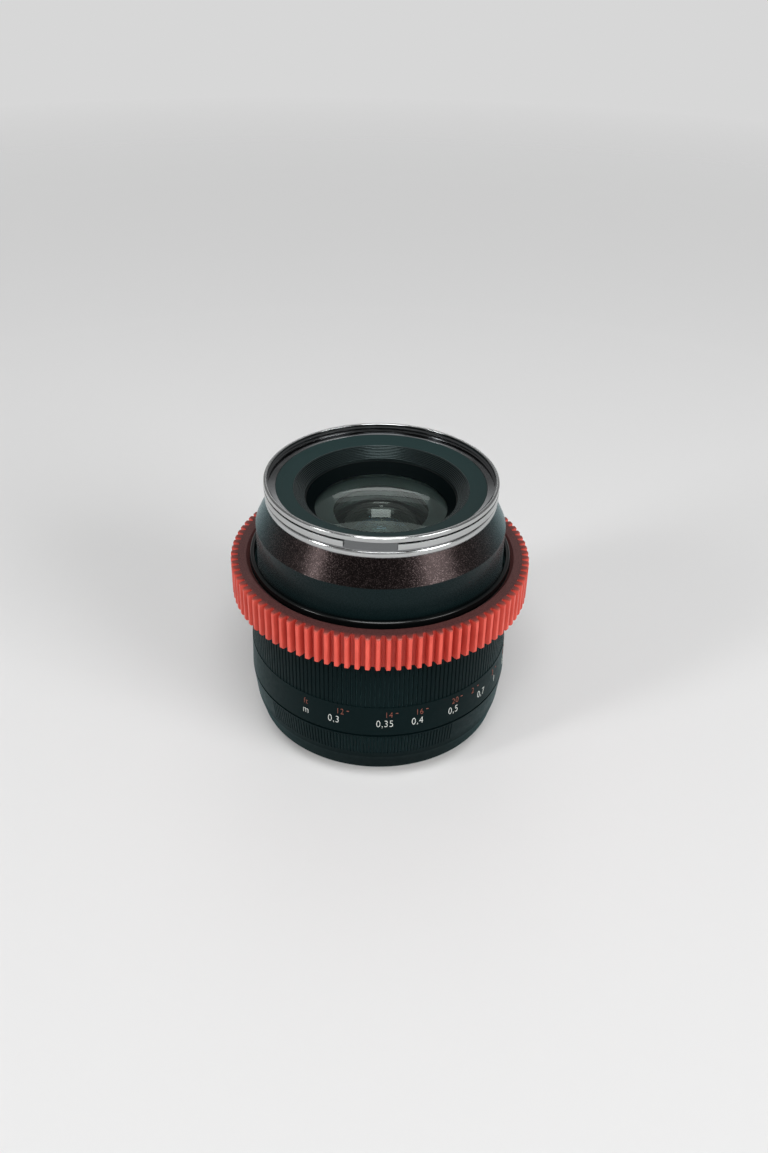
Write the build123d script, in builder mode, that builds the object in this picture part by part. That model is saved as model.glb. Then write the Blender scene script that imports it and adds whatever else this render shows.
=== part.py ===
from build123d import *
from math import acos, copysign, cos, degrees, pi, radians, sin, sqrt, tan
import os

os.makedirs("parts", exist_ok=True)

# A wide angle prime lens with a follow focus gear, standing on its mount with the front up.
# Millimetres. Z is the optical axis, Z = 0 is the rear end of the bayonet tube and -Y is the
# side with the near end of the distance scale. Azimuths are in degrees from +X towards +Y.

# Heights of the outside, from the mount to the filter rim
bayonet_depth = 4.9
flange_proud = 0.6
rear_barrel_height = 13.0
scale_gap = 0.6
scale_band_height = 8.9
rib_band_height = 15.55
gear_width = 9.6
gear_overhang = 0.95
barrel_show = 10.5
cone_height = 6.6
filter_ring_height = 6.0

barrel_bottom_z = bayonet_depth + flange_proud
barrel_top_z = barrel_bottom_z + rear_barrel_height
focus_bottom_z = barrel_top_z + scale_gap
rib_band_z = focus_bottom_z + scale_band_height
gear_bottom_z = rib_band_z + rib_band_height
gear_top_z = gear_bottom_z + gear_width
focus_top_z = gear_top_z - gear_overhang
cone_bottom_z = focus_top_z + barrel_show
cone_top_z = cone_bottom_z + cone_height
rim_z = cone_top_z + filter_ring_height

# Clearances and margins
seat_gap = 0.05
sliding_gap = 0.3
skirt_gap = 0.6
end_gap = 0.3
full_turn = 360.0

# Travel of the focus ring and of the front group
focus_throw = 126.0
front_travel = 5.4

# Distance scale and its index
index_azimuth = 13.0

# Fixed rear barrel
barrel_foot_inset = 1.4
barrel_waist_inset = 0.9
waist_height = 5.1
barrel_edge_fillet = 0.8
barrel_wall = 3.25
barrel_floor = 2.0
flange_seat_depth = 1.4
floor_bore_gap = 0.8
neck_wall = 1.15
neck_height = 4.0
sleeve_ledge = 1.4
ledge_height = 2.0
ledge_above_floor = 6.1
rear_rib_height = 6.0
rear_rib_margin = 0.3
rear_rib_count = 60
rear_rib_span = 86.0
rear_rib_azimuths = (-99.0, 125.0)
rear_groove_width = 0.5
rear_groove_depth = 0.3

# Guide sleeve, keys, helicoid nut and the captive rib of the focus ring
lens_tube_step = 0.4
lens_tube_wall = 1.6
nut_wall = 2.3
sleeve_wall = 1.5
key_width = 3.0
key_depth = 1.0
key_height = 4.0
key_count = 3
key_lift = 0.6
collar_height = 6.2
sleeve_height = 19.1
nut_height = 15.2
captive_rib_height = 2.0
retainer_height = 1.6

# Focus ring
rib_inset = 0.4
scale_shoulder = 0.15
gear_seat_inset = 0.35
focus_wall = 1.7
focus_rib_count = 182
focus_groove_width = 0.55
focus_groove_depth = 0.4
focus_flange_height = 2.2
focus_rim_chamfer = 0.4
nut_screw_count = 3

# Stop of the focus ring
stop_pin_r = 0.6
stop_pin_azimuth = 40.0
stop_ring_height = 2.3

# Follow focus gear
gear_module = 0.8
gear_rim = 3.1
gear_bevel = 0.9
gear_backlash = 0.04
gear_end_chamfer = 0.3
gear_pressure_angle = 14.5
drive_pressure_angle = 20.0
dedendum_ratio = 1.25

# Moving front barrel and filter ring
front_barrel_wall = 1.0
front_barrel_guide = 4.5
cone_inset = 3.1
filter_thread_inset = 0.6
filter_thread_length = 2.2
rim_chamfer = 0.25
filter_rim_wall = 1.2
lug_rise = 0.75
lip_height = 1.3
upper_groove_height = 0.5
lug_height = 1.6
lower_groove_height = 0.8
lug_gap_span = 25.0
lug_gap_azimuth = -94.0
lug_count = 3
strip_inset = 0.2
clamp_lip_width = 1.75
clamp_lip_height = 0.65
filter_neck_inset = 0.8
filter_neck_wall = 1.4
web_height = 1.8
web_recess = 1.8
web_drop = 0.6
web_bore_gap = 0.2
tube_flange_height = 2.0

# Name ring, ridged baffle and front retainer
name_ring_margin = 0.1
name_ring_dish = 0.85
name_ring_flange = 0.8
ridge_count = 9
ridge_margin = 0.3
ridge_depth = 2.65
baffle_foot = 0.6
retainer_overhang = 2.1
retainer_lip = 0.3

# Glass, in the order that light passes: radius, curvatures of the front and the rear face
# (positive bulges outwards, negative is hollow), flat seat outside a polished face, middle
# thickness and air gap. The front element's radius sets the size of the whole lens.
front_glass_depth = 6.9
glass_seat = 0.6
element_1_radius = 19.2
element_1_front_curve = 60.0
element_1_front_seat = 0.8
element_1_rear_curve = -24.0
element_1_thickness = 2.2
element_1_air = 5.9
element_2_radius = 16.8
element_2_front_curve = 34.0
element_2_rear_curve = -15.5
element_2_rear_reach = 11.6
element_2_thickness = 1.8
element_2_air = 3.6
element_3_radius = 13.2
element_3_front_curve = 34.0
element_3_rear_curve = 60.0
element_3_thickness = 5.2
element_3_air = 1.6
front_doublet_radius = 11.2
element_4_front_curve = 60.0
element_4_thickness = 5.0
front_cement_curve = 26.0
element_5_rear_curve = -60.0
element_5_thickness = 1.4
rear_doublet_radius = 10.2
rear_glass_depth = 2.55
element_6_front_curve = -24.0
element_6_thickness = 1.2
rear_cement_curve = -26.0
element_7_rear_curve = 28.0
element_7_thickness = 5.6
element_7_air = 1.0
rear_pair_radius = 11.8
element_8_front_curve = -60.0
element_8_rear_curve = 26.0
element_8_thickness = 3.6
element_8_air = 0.8
element_9_front_curve = 90.0
element_9_rear_curve = 48.0
element_9_thickness = 3.6

# Cells that hold the glass
cell_wall = 1.6
front_cell_rim = 3.2
front_cell_flange_width = 4.2
cell_seat = 0.9
clamp_ring_height = 1.2
rear_retainer_height = 1.5
spanner_notch = 1.2

# Iris
blade_count = 9
blade_thickness = 0.1
blade_pitch = 0.15
blade_inner_inset = 6.0
blade_outer_inset = 1.4
blade_sweep = 105.0
blade_root_sweep = 4.0
blade_swing = 28.0
pivot_inset = 3.2
pivot_ear_r = 1.8
pivot_pin_r = 0.45
drive_arm = 3.4
drive_pin_r = 0.4
pivot_gap = 0.06
drive_gap = 0.12
pivot_pin_sunk = 0.8
drive_pin_sunk = 1.1
aperture_inset = 0.2
iris_plate = 1.4
iris_wall = 1.3
iris_cell_gap = 0.3
iris_level_gap = 0.1
cam_ring_height = 1.2
cam_bore_gap = 0.1
cam_collar_wall = 0.5
iris_cover_height = 1.2

# Iris drive
drive_module = 0.3
pinion_teeth = 12
sector_teeth = 15
sector_lead = 3
drive_addendum = 0.22
drive_backlash = 0.08
motor_azimuth = 200.0
motor_r = 3.0
motor_margin = 0.8
motor_length = 8.0
motor_shaft_r = 0.5
motor_shaft_sunk = 2.0
shaft_gap = 0.15
bracket_length = 12.0
bracket_width = 4.6
bracket_thickness = 0.8
motor_screw_r = 0.45
motor_screw_head_r = 0.85
motor_screw_head_height = 0.5
motor_screw_length = 2.0
motor_screw_spread = 4.4

# Lens tube and rear cell
key_slot_margin = 0.2
key_slot_spare = 1.9
tube_shoulder = 0.8
key_fit = 0.1
rear_flange_height = 1.6

# Mount
flange_rim = 1.8
shim_thickness = 0.2
throat_inset = 4.0
bayonet_tube_wall = 2.4
bayonet_lug_rise = 1.5
bayonet_lug_height = 1.4
bayonet_lug_lift = 1.0
bayonet_lug_span = 56.0
bayonet_lug_count = 3
mount_screw_r = 0.8
mount_screw_head_r = 1.6
mount_screw_inset = 2.2
mount_screw_count = 4
mount_screw_length = 3.6
lock_slot_length = 3.4
lock_slot_width = 1.8
lock_slot_turn = 45.0
index_dot_r = 1.1
index_dot_lift = 2.7
index_dot_depth = 1.2

# Rear light baffle and electric contacts
baffle_wall = 0.8
baffle_window_width = 27.0
baffle_window_height = 20.0
baffle_corner = 4.0
contact_block_depth = 3.2
contact_block_height = 4.4
contact_block_span = 64.0
contact_block_lift = 0.3
contact_count = 8
contact_pin_r = 0.55
contact_pin_proud = 0.2
contact_pin_sunk = 0.9
contact_pitch = 6.0
contact_screw_span = 56.0
contact_screw_r = 0.7
contact_screw_length = 3.0

# Circuit board
board_width = 3.0
board_gap = 0.15
board_thickness = 1.0
board_span = 190.0
chip_width = 2.0
chip_length = 4.2
chip_height = 0.9
chip_count = 5
chip_spacing = 32.0

# Small screws
screw_r = 0.7
screw_head_r = 1.25
screw_head_height = 0.8
screw_length = 4.4
barrel_screw_count = 3
screw_slot_width = 0.35
screw_slot_depth = 0.3


def ring_section(inner, outer, bottom, top, mode=Mode.ADD):
    # Rectangle of a ring's wall, drawn in the plane that is turned around the optical axis
    with Locations(((inner + outer) / 2, (bottom + top) / 2)):
        Rectangle(outer - inner, top - bottom, mode=mode)


def ring_sector(inner, outer, start, span):
    # Part of a flat ring, from one azimuth over a span of degrees
    with BuildSketch() as sector:
        with BuildLine():
            outer_arc = CenterArc((0, 0), outer, start, span)
            inner_arc = CenterArc((0, 0), inner, start, span)
            Line(outer_arc @ 0, inner_arc @ 0)
            Line(outer_arc @ 1, inner_arc @ 1)
        make_face()
    return sector.sketch


def circle_edges(piece, radius, height):
    # Round edges of a piece at one radius and height
    near = 0.01
    return piece.edges().filter_by(GeomType.CIRCLE).filter_by(
        lambda edge: abs(edge.radius - radius) < near and abs(edge.center().Z - height) < near
    )


def sag(curve, reach):
    # Height of a spherical face between its middle and a given reach
    return copysign(abs(curve) - sqrt(curve**2 - reach**2), curve)


def glass_section(radius, front_z, front_curve, front_reach, rear_z, rear_curve, rear_reach):
    # Half section of a lens element, with a flat seat outside each polished face
    front_rim_z = front_z - sag(front_curve, front_reach)
    rear_rim_z = rear_z + sag(rear_curve, rear_reach)
    front_middle = (front_reach / 2, front_z - sag(front_curve, front_reach / 2))
    rear_middle = (rear_reach / 2, rear_z + sag(rear_curve, rear_reach / 2))
    with BuildSketch() as section:
        with BuildLine():
            ThreePointArc((0, front_z), front_middle, (front_reach, front_rim_z))
            if front_reach < radius:
                Line((front_reach, front_rim_z), (radius, front_rim_z))
            Line((radius, front_rim_z), (radius, rear_rim_z))
            if rear_reach < radius:
                Line((radius, rear_rim_z), (rear_reach, rear_rim_z))
            ThreePointArc((rear_reach, rear_rim_z), rear_middle, (0, rear_z))
            Line((0, rear_z), (0, front_z))
        make_face()
    return section.sketch


def involute_tooth(module, teeth, addendum, backlash, pressure_angle):
    # One tooth of a spur gear, pointing along +X, with each flank as an arc on its involute
    pitch_r = module * teeth / 2
    base_r = pitch_r * cos(radians(pressure_angle))
    tip_r = pitch_r + addendum
    root_r = pitch_r - dedendum_ratio * module
    sunk_r = root_r - module / 2
    half_angle = pi / (2 * teeth) - backlash / (2 * pitch_r)
    pitch_involute = tan(radians(pressure_angle)) - radians(pressure_angle)

    def flank_angle(radius):
        slope = acos(min(base_r / radius, 1))
        return half_angle + pitch_involute - (tan(slope) - slope)

    def flank_point(radius, side):
        angle = side * flank_angle(radius)
        return (radius * cos(angle), radius * sin(angle))

    with BuildSketch() as tooth:
        with BuildLine():
            ThreePointArc(flank_point(root_r, -1), flank_point(pitch_r, -1), flank_point(tip_r, -1))
            ThreePointArc(flank_point(tip_r, -1), (tip_r, 0), flank_point(tip_r, 1))
            ThreePointArc(flank_point(tip_r, 1), flank_point(pitch_r, 1), flank_point(root_r, 1))
            foot_width = flank_point(root_r, 1)[1]
            Polyline(
                flank_point(root_r, 1),
                (sunk_r, foot_width),
                (sunk_r, -foot_width),
                flank_point(root_r, -1),
            )
        make_face()
    return tooth.sketch


# Polished reach of the glass faces
element_1_front_reach = element_1_radius - element_1_front_seat
element_2_front_reach = element_2_radius - glass_seat
element_1_rear_reach = element_2_front_reach
element_3_reach = element_3_radius - glass_seat
front_doublet_reach = front_doublet_radius - glass_seat
rear_doublet_reach = rear_doublet_radius - glass_seat
rear_pair_reach = rear_pair_radius - glass_seat

# Places of the glass along the axis
element_1_front_z = rim_z - front_glass_depth
element_1_rear_z = element_1_front_z - element_1_thickness
element_2_front_z = element_1_rear_z - element_1_air
element_2_rear_z = element_2_front_z - element_2_thickness
element_3_front_z = element_2_rear_z - element_2_air
element_3_rear_z = element_3_front_z - element_3_thickness
element_4_front_z = element_3_rear_z - element_3_air
front_cement_z = element_4_front_z - element_4_thickness
element_5_rear_z = front_cement_z - element_5_thickness

element_1_front_rim_z = element_1_front_z - sag(element_1_front_curve, element_1_front_reach)
element_1_seat_z = element_1_rear_z + sag(element_1_rear_curve, element_1_rear_reach)
element_2_front_rim_z = element_2_front_z - sag(element_2_front_curve, element_2_front_reach)
element_2_seat_z = element_2_rear_z + sag(element_2_rear_curve, element_2_rear_reach)
element_3_front_rim_z = element_3_front_z - sag(element_3_front_curve, element_3_reach)
element_3_seat_z = element_3_rear_z + sag(element_3_rear_curve, element_3_reach)
element_4_front_rim_z = element_4_front_z - sag(element_4_front_curve, front_doublet_reach)
element_5_seat_z = element_5_rear_z + sag(element_5_rear_curve, front_doublet_reach)
front_cell_bottom_z = element_5_seat_z - cell_seat

# Places of the iris, which hangs under the front cell
iris_top_z = front_cell_bottom_z - iris_cell_gap
plate_bottom_z = iris_top_z - iris_plate
blade_base_z = plate_bottom_z - iris_level_gap - blade_count * blade_pitch
cam_ring_top_z = blade_base_z - iris_level_gap
cam_ring_bottom_z = cam_ring_top_z - cam_ring_height
cover_top_z = cam_ring_bottom_z - iris_level_gap
cover_bottom_z = cover_top_z - iris_cover_height

# Places of the rear glass, under the iris
element_6_front_z = cover_bottom_z - rear_glass_depth
rear_cement_z = element_6_front_z - element_6_thickness
element_7_rear_z = rear_cement_z - element_7_thickness
element_8_front_z = element_7_rear_z - element_7_air
element_8_rear_z = element_8_front_z - element_8_thickness
element_9_front_z = element_8_rear_z - element_8_air
element_9_rear_z = element_9_front_z - element_9_thickness
element_7_seat_z = element_7_rear_z + sag(element_7_rear_curve, rear_doublet_reach)
element_8_front_rim_z = element_8_front_z - sag(element_8_front_curve, rear_pair_reach)
element_8_rear_rim_z = element_8_rear_z + sag(element_8_rear_curve, rear_pair_reach)
element_9_front_rim_z = element_9_front_z - sag(element_9_front_curve, rear_pair_reach)
element_9_rear_rim_z = element_9_rear_z + sag(element_9_rear_curve, rear_pair_reach)
rear_cell_bottom_z = element_9_rear_rim_z - rear_retainer_height

# Radii from the front glass out to the body
front_cell_top_r = element_1_radius + front_cell_rim
front_cell_flange_r = front_cell_top_r + front_cell_flange_width
lens_tube_r = front_cell_flange_r + lens_tube_step
lens_tube_bore_r = lens_tube_r - lens_tube_wall
nut_inner_r = lens_tube_r + sliding_gap
nut_outer_r = nut_inner_r + nut_wall
sleeve_inner_r = nut_outer_r + sliding_gap
sleeve_outer_r = sleeve_inner_r + sleeve_wall
neck_inner_r = sleeve_outer_r + seat_gap
neck_outer_r = neck_inner_r + neck_wall
focus_inner_r = neck_outer_r + sliding_gap
rib_tip_r = focus_inner_r + focus_wall
gear_seat_r = rib_tip_r - gear_seat_inset
body_r = rib_tip_r + rib_inset
barrel_waist_r = body_r - barrel_waist_inset
barrel_bottom_r = barrel_waist_r - barrel_foot_inset
barrel_cavity_r = barrel_waist_r - barrel_wall
front_barrel_r = focus_inner_r - skirt_gap
front_barrel_bore_r = front_barrel_r - front_barrel_wall
cone_top_r = front_barrel_r - cone_inset
filter_thread_r = cone_top_r - filter_thread_inset
filter_neck_r = filter_thread_r - filter_neck_inset
lug_outer_r = filter_thread_r + filter_rim_wall
lug_root_r = lug_outer_r - lug_rise
strip_r = lug_outer_r - strip_inset
clamp_lip_r = filter_thread_r - clamp_lip_width
name_ring_outer_r = clamp_lip_r - seat_gap
name_ring_inner_r = front_cell_top_r + name_ring_margin
ridge_inner_r = element_1_radius + ridge_margin
retainer_inner_r = element_1_radius - retainer_overhang
web_bore_r = front_cell_top_r + web_bore_gap
tube_flange_r = front_barrel_bore_r - sliding_gap
throat_r = lens_tube_r - throat_inset
bayonet_tube_r = throat_r + bayonet_tube_wall
bayonet_lug_r = bayonet_tube_r + bayonet_lug_rise
floor_bore_r = bayonet_tube_r + floor_bore_gap
flange_r = barrel_bottom_r - flange_rim
mount_screw_circle_r = flange_r - mount_screw_inset

# Heights that follow from the fits
floor_bottom_z = barrel_bottom_z + flange_seat_depth
floor_top_z = floor_bottom_z + barrel_floor
ledge_bottom_z = floor_top_z + ledge_above_floor
sleeve_bottom_z = ledge_bottom_z + ledge_height
sleeve_top_z = sleeve_bottom_z + sleeve_height
collar_top_z = sleeve_bottom_z + collar_height
neck_top_z = barrel_top_z + neck_height
captive_rib_bottom_z = neck_top_z + end_gap
captive_rib_top_z = captive_rib_bottom_z + captive_rib_height
captive_rib_r = sleeve_outer_r + sliding_gap
retainer_bottom_z = captive_rib_top_z + end_gap
retainer_top_z = retainer_bottom_z + retainer_height
nut_bottom_z = collar_top_z + end_gap
nut_top_z = nut_bottom_z + nut_height
focus_flange_top_z = nut_top_z + focus_flange_height
front_barrel_bottom_z = focus_top_z - front_travel - front_barrel_guide
web_bottom_z = cone_bottom_z + web_drop
web_top_z = web_bottom_z + web_height
tube_flange_top_z = web_bottom_z - web_recess
tube_flange_bottom_z = tube_flange_top_z - tube_flange_height
key_bottom_z = sleeve_bottom_z + key_lift
key_top_z = key_bottom_z + key_height
lens_tube_bottom_z = key_bottom_z - front_travel - key_slot_margin
screw_circle_r = (web_bore_r + front_cell_flange_r) / 2
nut_screw_circle_r = (nut_inner_r + nut_outer_r) / 2
stop_circle_r = (sleeve_inner_r + sleeve_outer_r) / 2


# Rear barrel, fixed to the mount, with two patches of fine ribs on its grip
rear_groove_length = rear_rib_height
rear_groove_top_z = barrel_top_z - rear_rib_margin
barrel_slope = (body_r - barrel_waist_r) / (rear_barrel_height - waist_height)
groove_end_r = body_r - barrel_slope * rear_rib_margin
groove_plane = Plane(
    origin=(groove_end_r, 0, rear_groove_top_z), x_dir=(0, 1, 0), z_dir=(-barrel_slope, 0, -1)
)
with BuildPart() as rear_groove:
    with BuildSketch(groove_plane):
        Polygon(
            (-rear_groove_width / 2, rear_groove_depth / 2),
            (rear_groove_width / 2, rear_groove_depth / 2),
            (0, -rear_groove_depth),
            align=None,
        )
    extrude(amount=rear_groove_length)

with BuildPart() as rear_barrel:
    with BuildSketch(Plane.XZ):
        with BuildLine():
            Polyline(
                (floor_bore_r, floor_bottom_z),
                (flange_r + seat_gap, floor_bottom_z),
                (flange_r + seat_gap, barrel_bottom_z),
                (barrel_bottom_r, barrel_bottom_z),
                (barrel_waist_r, barrel_bottom_z + waist_height),
                (body_r, barrel_top_z),
                (neck_outer_r, barrel_top_z),
                (neck_outer_r, neck_top_z),
                (neck_inner_r, neck_top_z),
                (neck_inner_r, sleeve_bottom_z),
                (neck_inner_r - sleeve_ledge, sleeve_bottom_z),
                (neck_inner_r - sleeve_ledge, ledge_bottom_z),
                (barrel_cavity_r, ledge_bottom_z),
                (barrel_cavity_r, floor_top_z),
                (floor_bore_r, floor_top_z),
                close=True,
            )
        make_face()
    revolve(axis=Axis.Z)
    fillet(circle_edges(rear_barrel, barrel_bottom_r, barrel_bottom_z), barrel_edge_fillet)
    for rib_azimuth in rear_rib_azimuths:
        first_groove = rib_azimuth - rear_rib_span / 2
        with PolarLocations(0, rear_rib_count, first_groove, rear_rib_span, endpoint=True):
            add(rear_groove.part, mode=Mode.SUBTRACT)
    with BuildSketch(Plane.XY.offset(floor_bottom_z)):
        with PolarLocations(mount_screw_circle_r, mount_screw_count, index_azimuth):
            Circle(mount_screw_r + seat_gap)
    extrude(amount=barrel_floor, mode=Mode.SUBTRACT)
    dot_plane = Plane(
        origin=(0, 0, barrel_bottom_z + index_dot_lift),
        x_dir=(0, 0, 1),
        z_dir=(cos(radians(index_azimuth)), sin(radians(index_azimuth)), 0),
    )
    dot_face_r = barrel_bottom_r + (barrel_waist_r - barrel_bottom_r) * index_dot_lift / waist_height
    dot_floor_r = dot_face_r - index_dot_depth
    with BuildSketch(dot_plane.offset(dot_floor_r)):
        Circle(index_dot_r)
    extrude(amount=2 * index_dot_depth, mode=Mode.SUBTRACT)
rear_barrel.part.label = "rear_barrel"
export_step(rear_barrel.part, "parts/rear_barrel.step")

# Round mark that lines the lens up with the camera
with BuildPart() as index_dot:
    with BuildSketch(dot_plane.offset(dot_floor_r)):
        Circle(index_dot_r - seat_gap)
    extrude(amount=index_dot_depth)
index_dot.part.label = "index_dot"
export_step(index_dot.part, "parts/index_dot.step")

# Guide sleeve, screwed into the rear barrel, with a collar that carries the nut and the keys
key_middle_r = (lens_tube_r - key_depth + sliding_gap + sleeve_inner_r) / 2
key_length = sleeve_inner_r - lens_tube_r + key_depth - sliding_gap
with BuildPart() as guide_sleeve:
    with BuildSketch(Plane.XZ):
        ring_section(sleeve_inner_r, sleeve_outer_r, sleeve_bottom_z, sleeve_top_z)
        ring_section(nut_inner_r, sleeve_inner_r, sleeve_bottom_z, collar_top_z)
    revolve(axis=Axis.Z)
    with BuildSketch(Plane.XY.offset(key_bottom_z)):
        with PolarLocations(key_middle_r, key_count):
            Rectangle(key_length + seat_gap, key_width + 2 * seat_gap)
    extrude(amount=key_height + seat_gap, mode=Mode.SUBTRACT)
guide_sleeve.part.label = "guide_sleeve"
export_step(guide_sleeve.part, "parts/guide_sleeve.step")

# Keys that stop the lens tube from turning
with BuildPart() as guide_keys:
    with BuildSketch(Plane.XY.offset(key_bottom_z)):
        with PolarLocations(key_middle_r, key_count):
            Rectangle(key_length, key_width)
    extrude(amount=key_height)
guide_keys.part.label = "guide_keys"
export_step(guide_keys.part, "parts/guide_keys.step")

# Ring on the sleeve that holds the focus ring down
with BuildPart() as focus_retainer:
    with BuildSketch(Plane.XZ):
        ring_section(sleeve_outer_r + seat_gap, neck_outer_r, retainer_bottom_z, retainer_top_z)
    revolve(axis=Axis.Z)
focus_retainer.part.label = "focus_retainer"
export_step(focus_retainer.part, "parts/focus_retainer.step")

# Stop of the focus ring: an open ring on the sleeve, and a pin that swings in its gap
stop_slack = degrees((stop_pin_r + end_gap) / stop_circle_r)
stop_ring_start = stop_pin_azimuth + focus_throw + stop_slack
stop_ring_span = full_turn - focus_throw - 2 * stop_slack
stop_pin_bottom_z = sleeve_top_z + end_gap
stop_ring = ring_sector(sleeve_inner_r, sleeve_outer_r, stop_ring_start, stop_ring_span)
with BuildPart() as focus_stop:
    with BuildSketch(Plane.XY.offset(sleeve_top_z)):
        add(stop_ring)
    extrude(amount=stop_ring_height)
focus_stop.part.label = "focus_stop"
export_step(focus_stop.part, "parts/focus_stop.step")

with BuildPart() as stop_pin:
    with BuildSketch(Plane.XY.offset(stop_pin_bottom_z)):
        with PolarLocations(stop_circle_r, 1, stop_pin_azimuth):
            Circle(stop_pin_r)
    extrude(amount=focus_flange_top_z - stop_pin_bottom_z)
stop_pin.part.label = "stop_pin"
export_step(stop_pin.part, "parts/stop_pin.step")

# Nut of the focusing thread, turned by the focus ring
with BuildPart() as helicoid_nut:
    with BuildSketch(Plane.XZ):
        ring_section(nut_inner_r, nut_outer_r, nut_bottom_z, nut_top_z)
    revolve(axis=Axis.Z)
    with BuildSketch(Plane.XY.offset(nut_top_z)):
        with PolarLocations(nut_screw_circle_r, nut_screw_count):
            Circle(screw_r)
    extrude(amount=focus_flange_height - end_gap - screw_length, mode=Mode.SUBTRACT)
helicoid_nut.part.label = "helicoid_nut"
export_step(helicoid_nut.part, "parts/helicoid_nut.step")

with BuildPart() as nut_screws:
    with PolarLocations(nut_screw_circle_r, nut_screw_count):
        with Locations((0, 0, focus_flange_top_z - screw_head_height / 2)):
            Cylinder(screw_head_r, screw_head_height)
        with Locations((0, 0, focus_flange_top_z - screw_length / 2)):
            Cylinder(screw_r - seat_gap, screw_length)
        with Locations((0, 0, focus_flange_top_z - screw_slot_depth / 2)):
            Box(2 * screw_head_r, screw_slot_width, screw_slot_depth, mode=Mode.SUBTRACT)
nut_screws.part.label = "nut_screws"
export_step(nut_screws.part, "parts/nut_screws.step")

# Focus ring: ribbed band, smooth distance scale, seat for the gear and a flange on the nut
with BuildPart() as focus_ring:
    with BuildSketch(Plane.XZ):
        with BuildLine():
            Polyline(
                (focus_inner_r, focus_bottom_z),
                (body_r, focus_bottom_z),
                (rib_tip_r + scale_shoulder, rib_band_z),
                (focus_inner_r, rib_band_z),
                close=True,
            )
        make_face()
        ring_section(captive_rib_r, focus_inner_r, captive_rib_bottom_z, captive_rib_top_z)
        ring_section(nut_inner_r, focus_inner_r, nut_top_z, focus_flange_top_z)
        ring_section(focus_inner_r, gear_seat_r, gear_bottom_z, focus_top_z)
    revolve(axis=Axis.Z)
    with BuildSketch(Plane.XY.offset(rib_band_z)):
        Circle(rib_tip_r)
        Circle(focus_inner_r, mode=Mode.SUBTRACT)
        with PolarLocations(rib_tip_r, focus_rib_count):
            Polygon(
                (focus_groove_depth / 2, focus_groove_width / 2),
                (focus_groove_depth / 2, -focus_groove_width / 2),
                (-focus_groove_depth, 0),
                align=None,
                mode=Mode.SUBTRACT,
            )
    extrude(amount=rib_band_height)
    chamfer(circle_edges(focus_ring, gear_seat_r, focus_top_z), focus_rim_chamfer)
    with PolarLocations(nut_screw_circle_r, nut_screw_count):
        with Locations((0, 0, focus_flange_top_z)):
            CounterBoreHole(
                screw_r, screw_head_r + seat_gap, screw_head_height, focus_flange_height
            )
    with PolarLocations(stop_circle_r, 1, stop_pin_azimuth):
        with Locations((0, 0, focus_flange_top_z)):
            Hole(stop_pin_r + seat_gap, focus_flange_height)
focus_ring.part.label = "focus_ring"
export_step(focus_ring.part, "parts/focus_ring.step")

# Follow focus gear, pushed on to its seat on the focus ring
gear_bore_r = gear_seat_r + seat_gap
gear_teeth = 2 * round((gear_bore_r + gear_rim) / gear_module + dedendum_ratio)
gear_root_r = gear_module * (gear_teeth / 2 - dedendum_ratio)
gear_tip_r = gear_module * (gear_teeth / 2 + 1)
gear_tooth = involute_tooth(
    gear_module, gear_teeth, gear_module, gear_backlash, gear_pressure_angle
)
with BuildPart() as gear_ring:
    with BuildSketch(Plane.XY.offset(gear_bottom_z)):
        Circle(gear_root_r)
        with PolarLocations(0, gear_teeth):
            add(gear_tooth)
        Circle(gear_bore_r, mode=Mode.SUBTRACT)
    extrude(amount=gear_width)
    with BuildSketch(Plane.XZ):
        with BuildLine():
            Polyline(
                (0, gear_bottom_z - gear_end_chamfer),
                (gear_tip_r - 2 * gear_end_chamfer, gear_bottom_z - gear_end_chamfer),
                (gear_tip_r + gear_end_chamfer, gear_bottom_z + 2 * gear_end_chamfer),
                (gear_tip_r + gear_end_chamfer, gear_top_z - 2 * gear_end_chamfer),
                (gear_tip_r - 2 * gear_end_chamfer, gear_top_z + gear_end_chamfer),
                (0, gear_top_z + gear_end_chamfer),
                close=True,
            )
        make_face()
    revolve(axis=Axis.Z, mode=Mode.INTERSECT)
    chamfer(circle_edges(gear_ring, gear_bore_r, gear_top_z), gear_bevel)
gear_ring.part.label = "gear_ring"
export_step(gear_ring.part, "parts/gear_ring.step")

# Front barrel: the cylinder that comes out of the focus ring, its cone and an inner web
filter_neck_top_z = rim_z - filter_thread_length - clamp_lip_height - name_ring_flange
with BuildPart() as front_barrel:
    with BuildSketch(Plane.XZ):
        with BuildLine():
            Polyline(
                (front_barrel_bore_r, front_barrel_bottom_z),
                (front_barrel_r, front_barrel_bottom_z),
                (front_barrel_r, cone_bottom_z),
                (cone_top_r, cone_top_z),
                (filter_neck_r, cone_top_z),
                (filter_neck_r, filter_neck_top_z),
                (filter_neck_r - filter_neck_wall, filter_neck_top_z),
                (filter_neck_r - filter_neck_wall, web_top_z),
                (web_bore_r, web_top_z),
                (web_bore_r, web_bottom_z),
                (front_cell_flange_r + seat_gap, web_bottom_z),
                (front_cell_flange_r + seat_gap, tube_flange_top_z),
                (front_barrel_bore_r, tube_flange_top_z),
                close=True,
            )
        make_face()
    revolve(axis=Axis.Z)
    with PolarLocations(screw_circle_r, barrel_screw_count):
        with Locations((0, 0, web_top_z)):
            CounterBoreHole(screw_r, screw_head_r + seat_gap, screw_head_height, web_height)
front_barrel.part.label = "front_barrel"
export_step(front_barrel.part, "parts/front_barrel.step")

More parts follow.
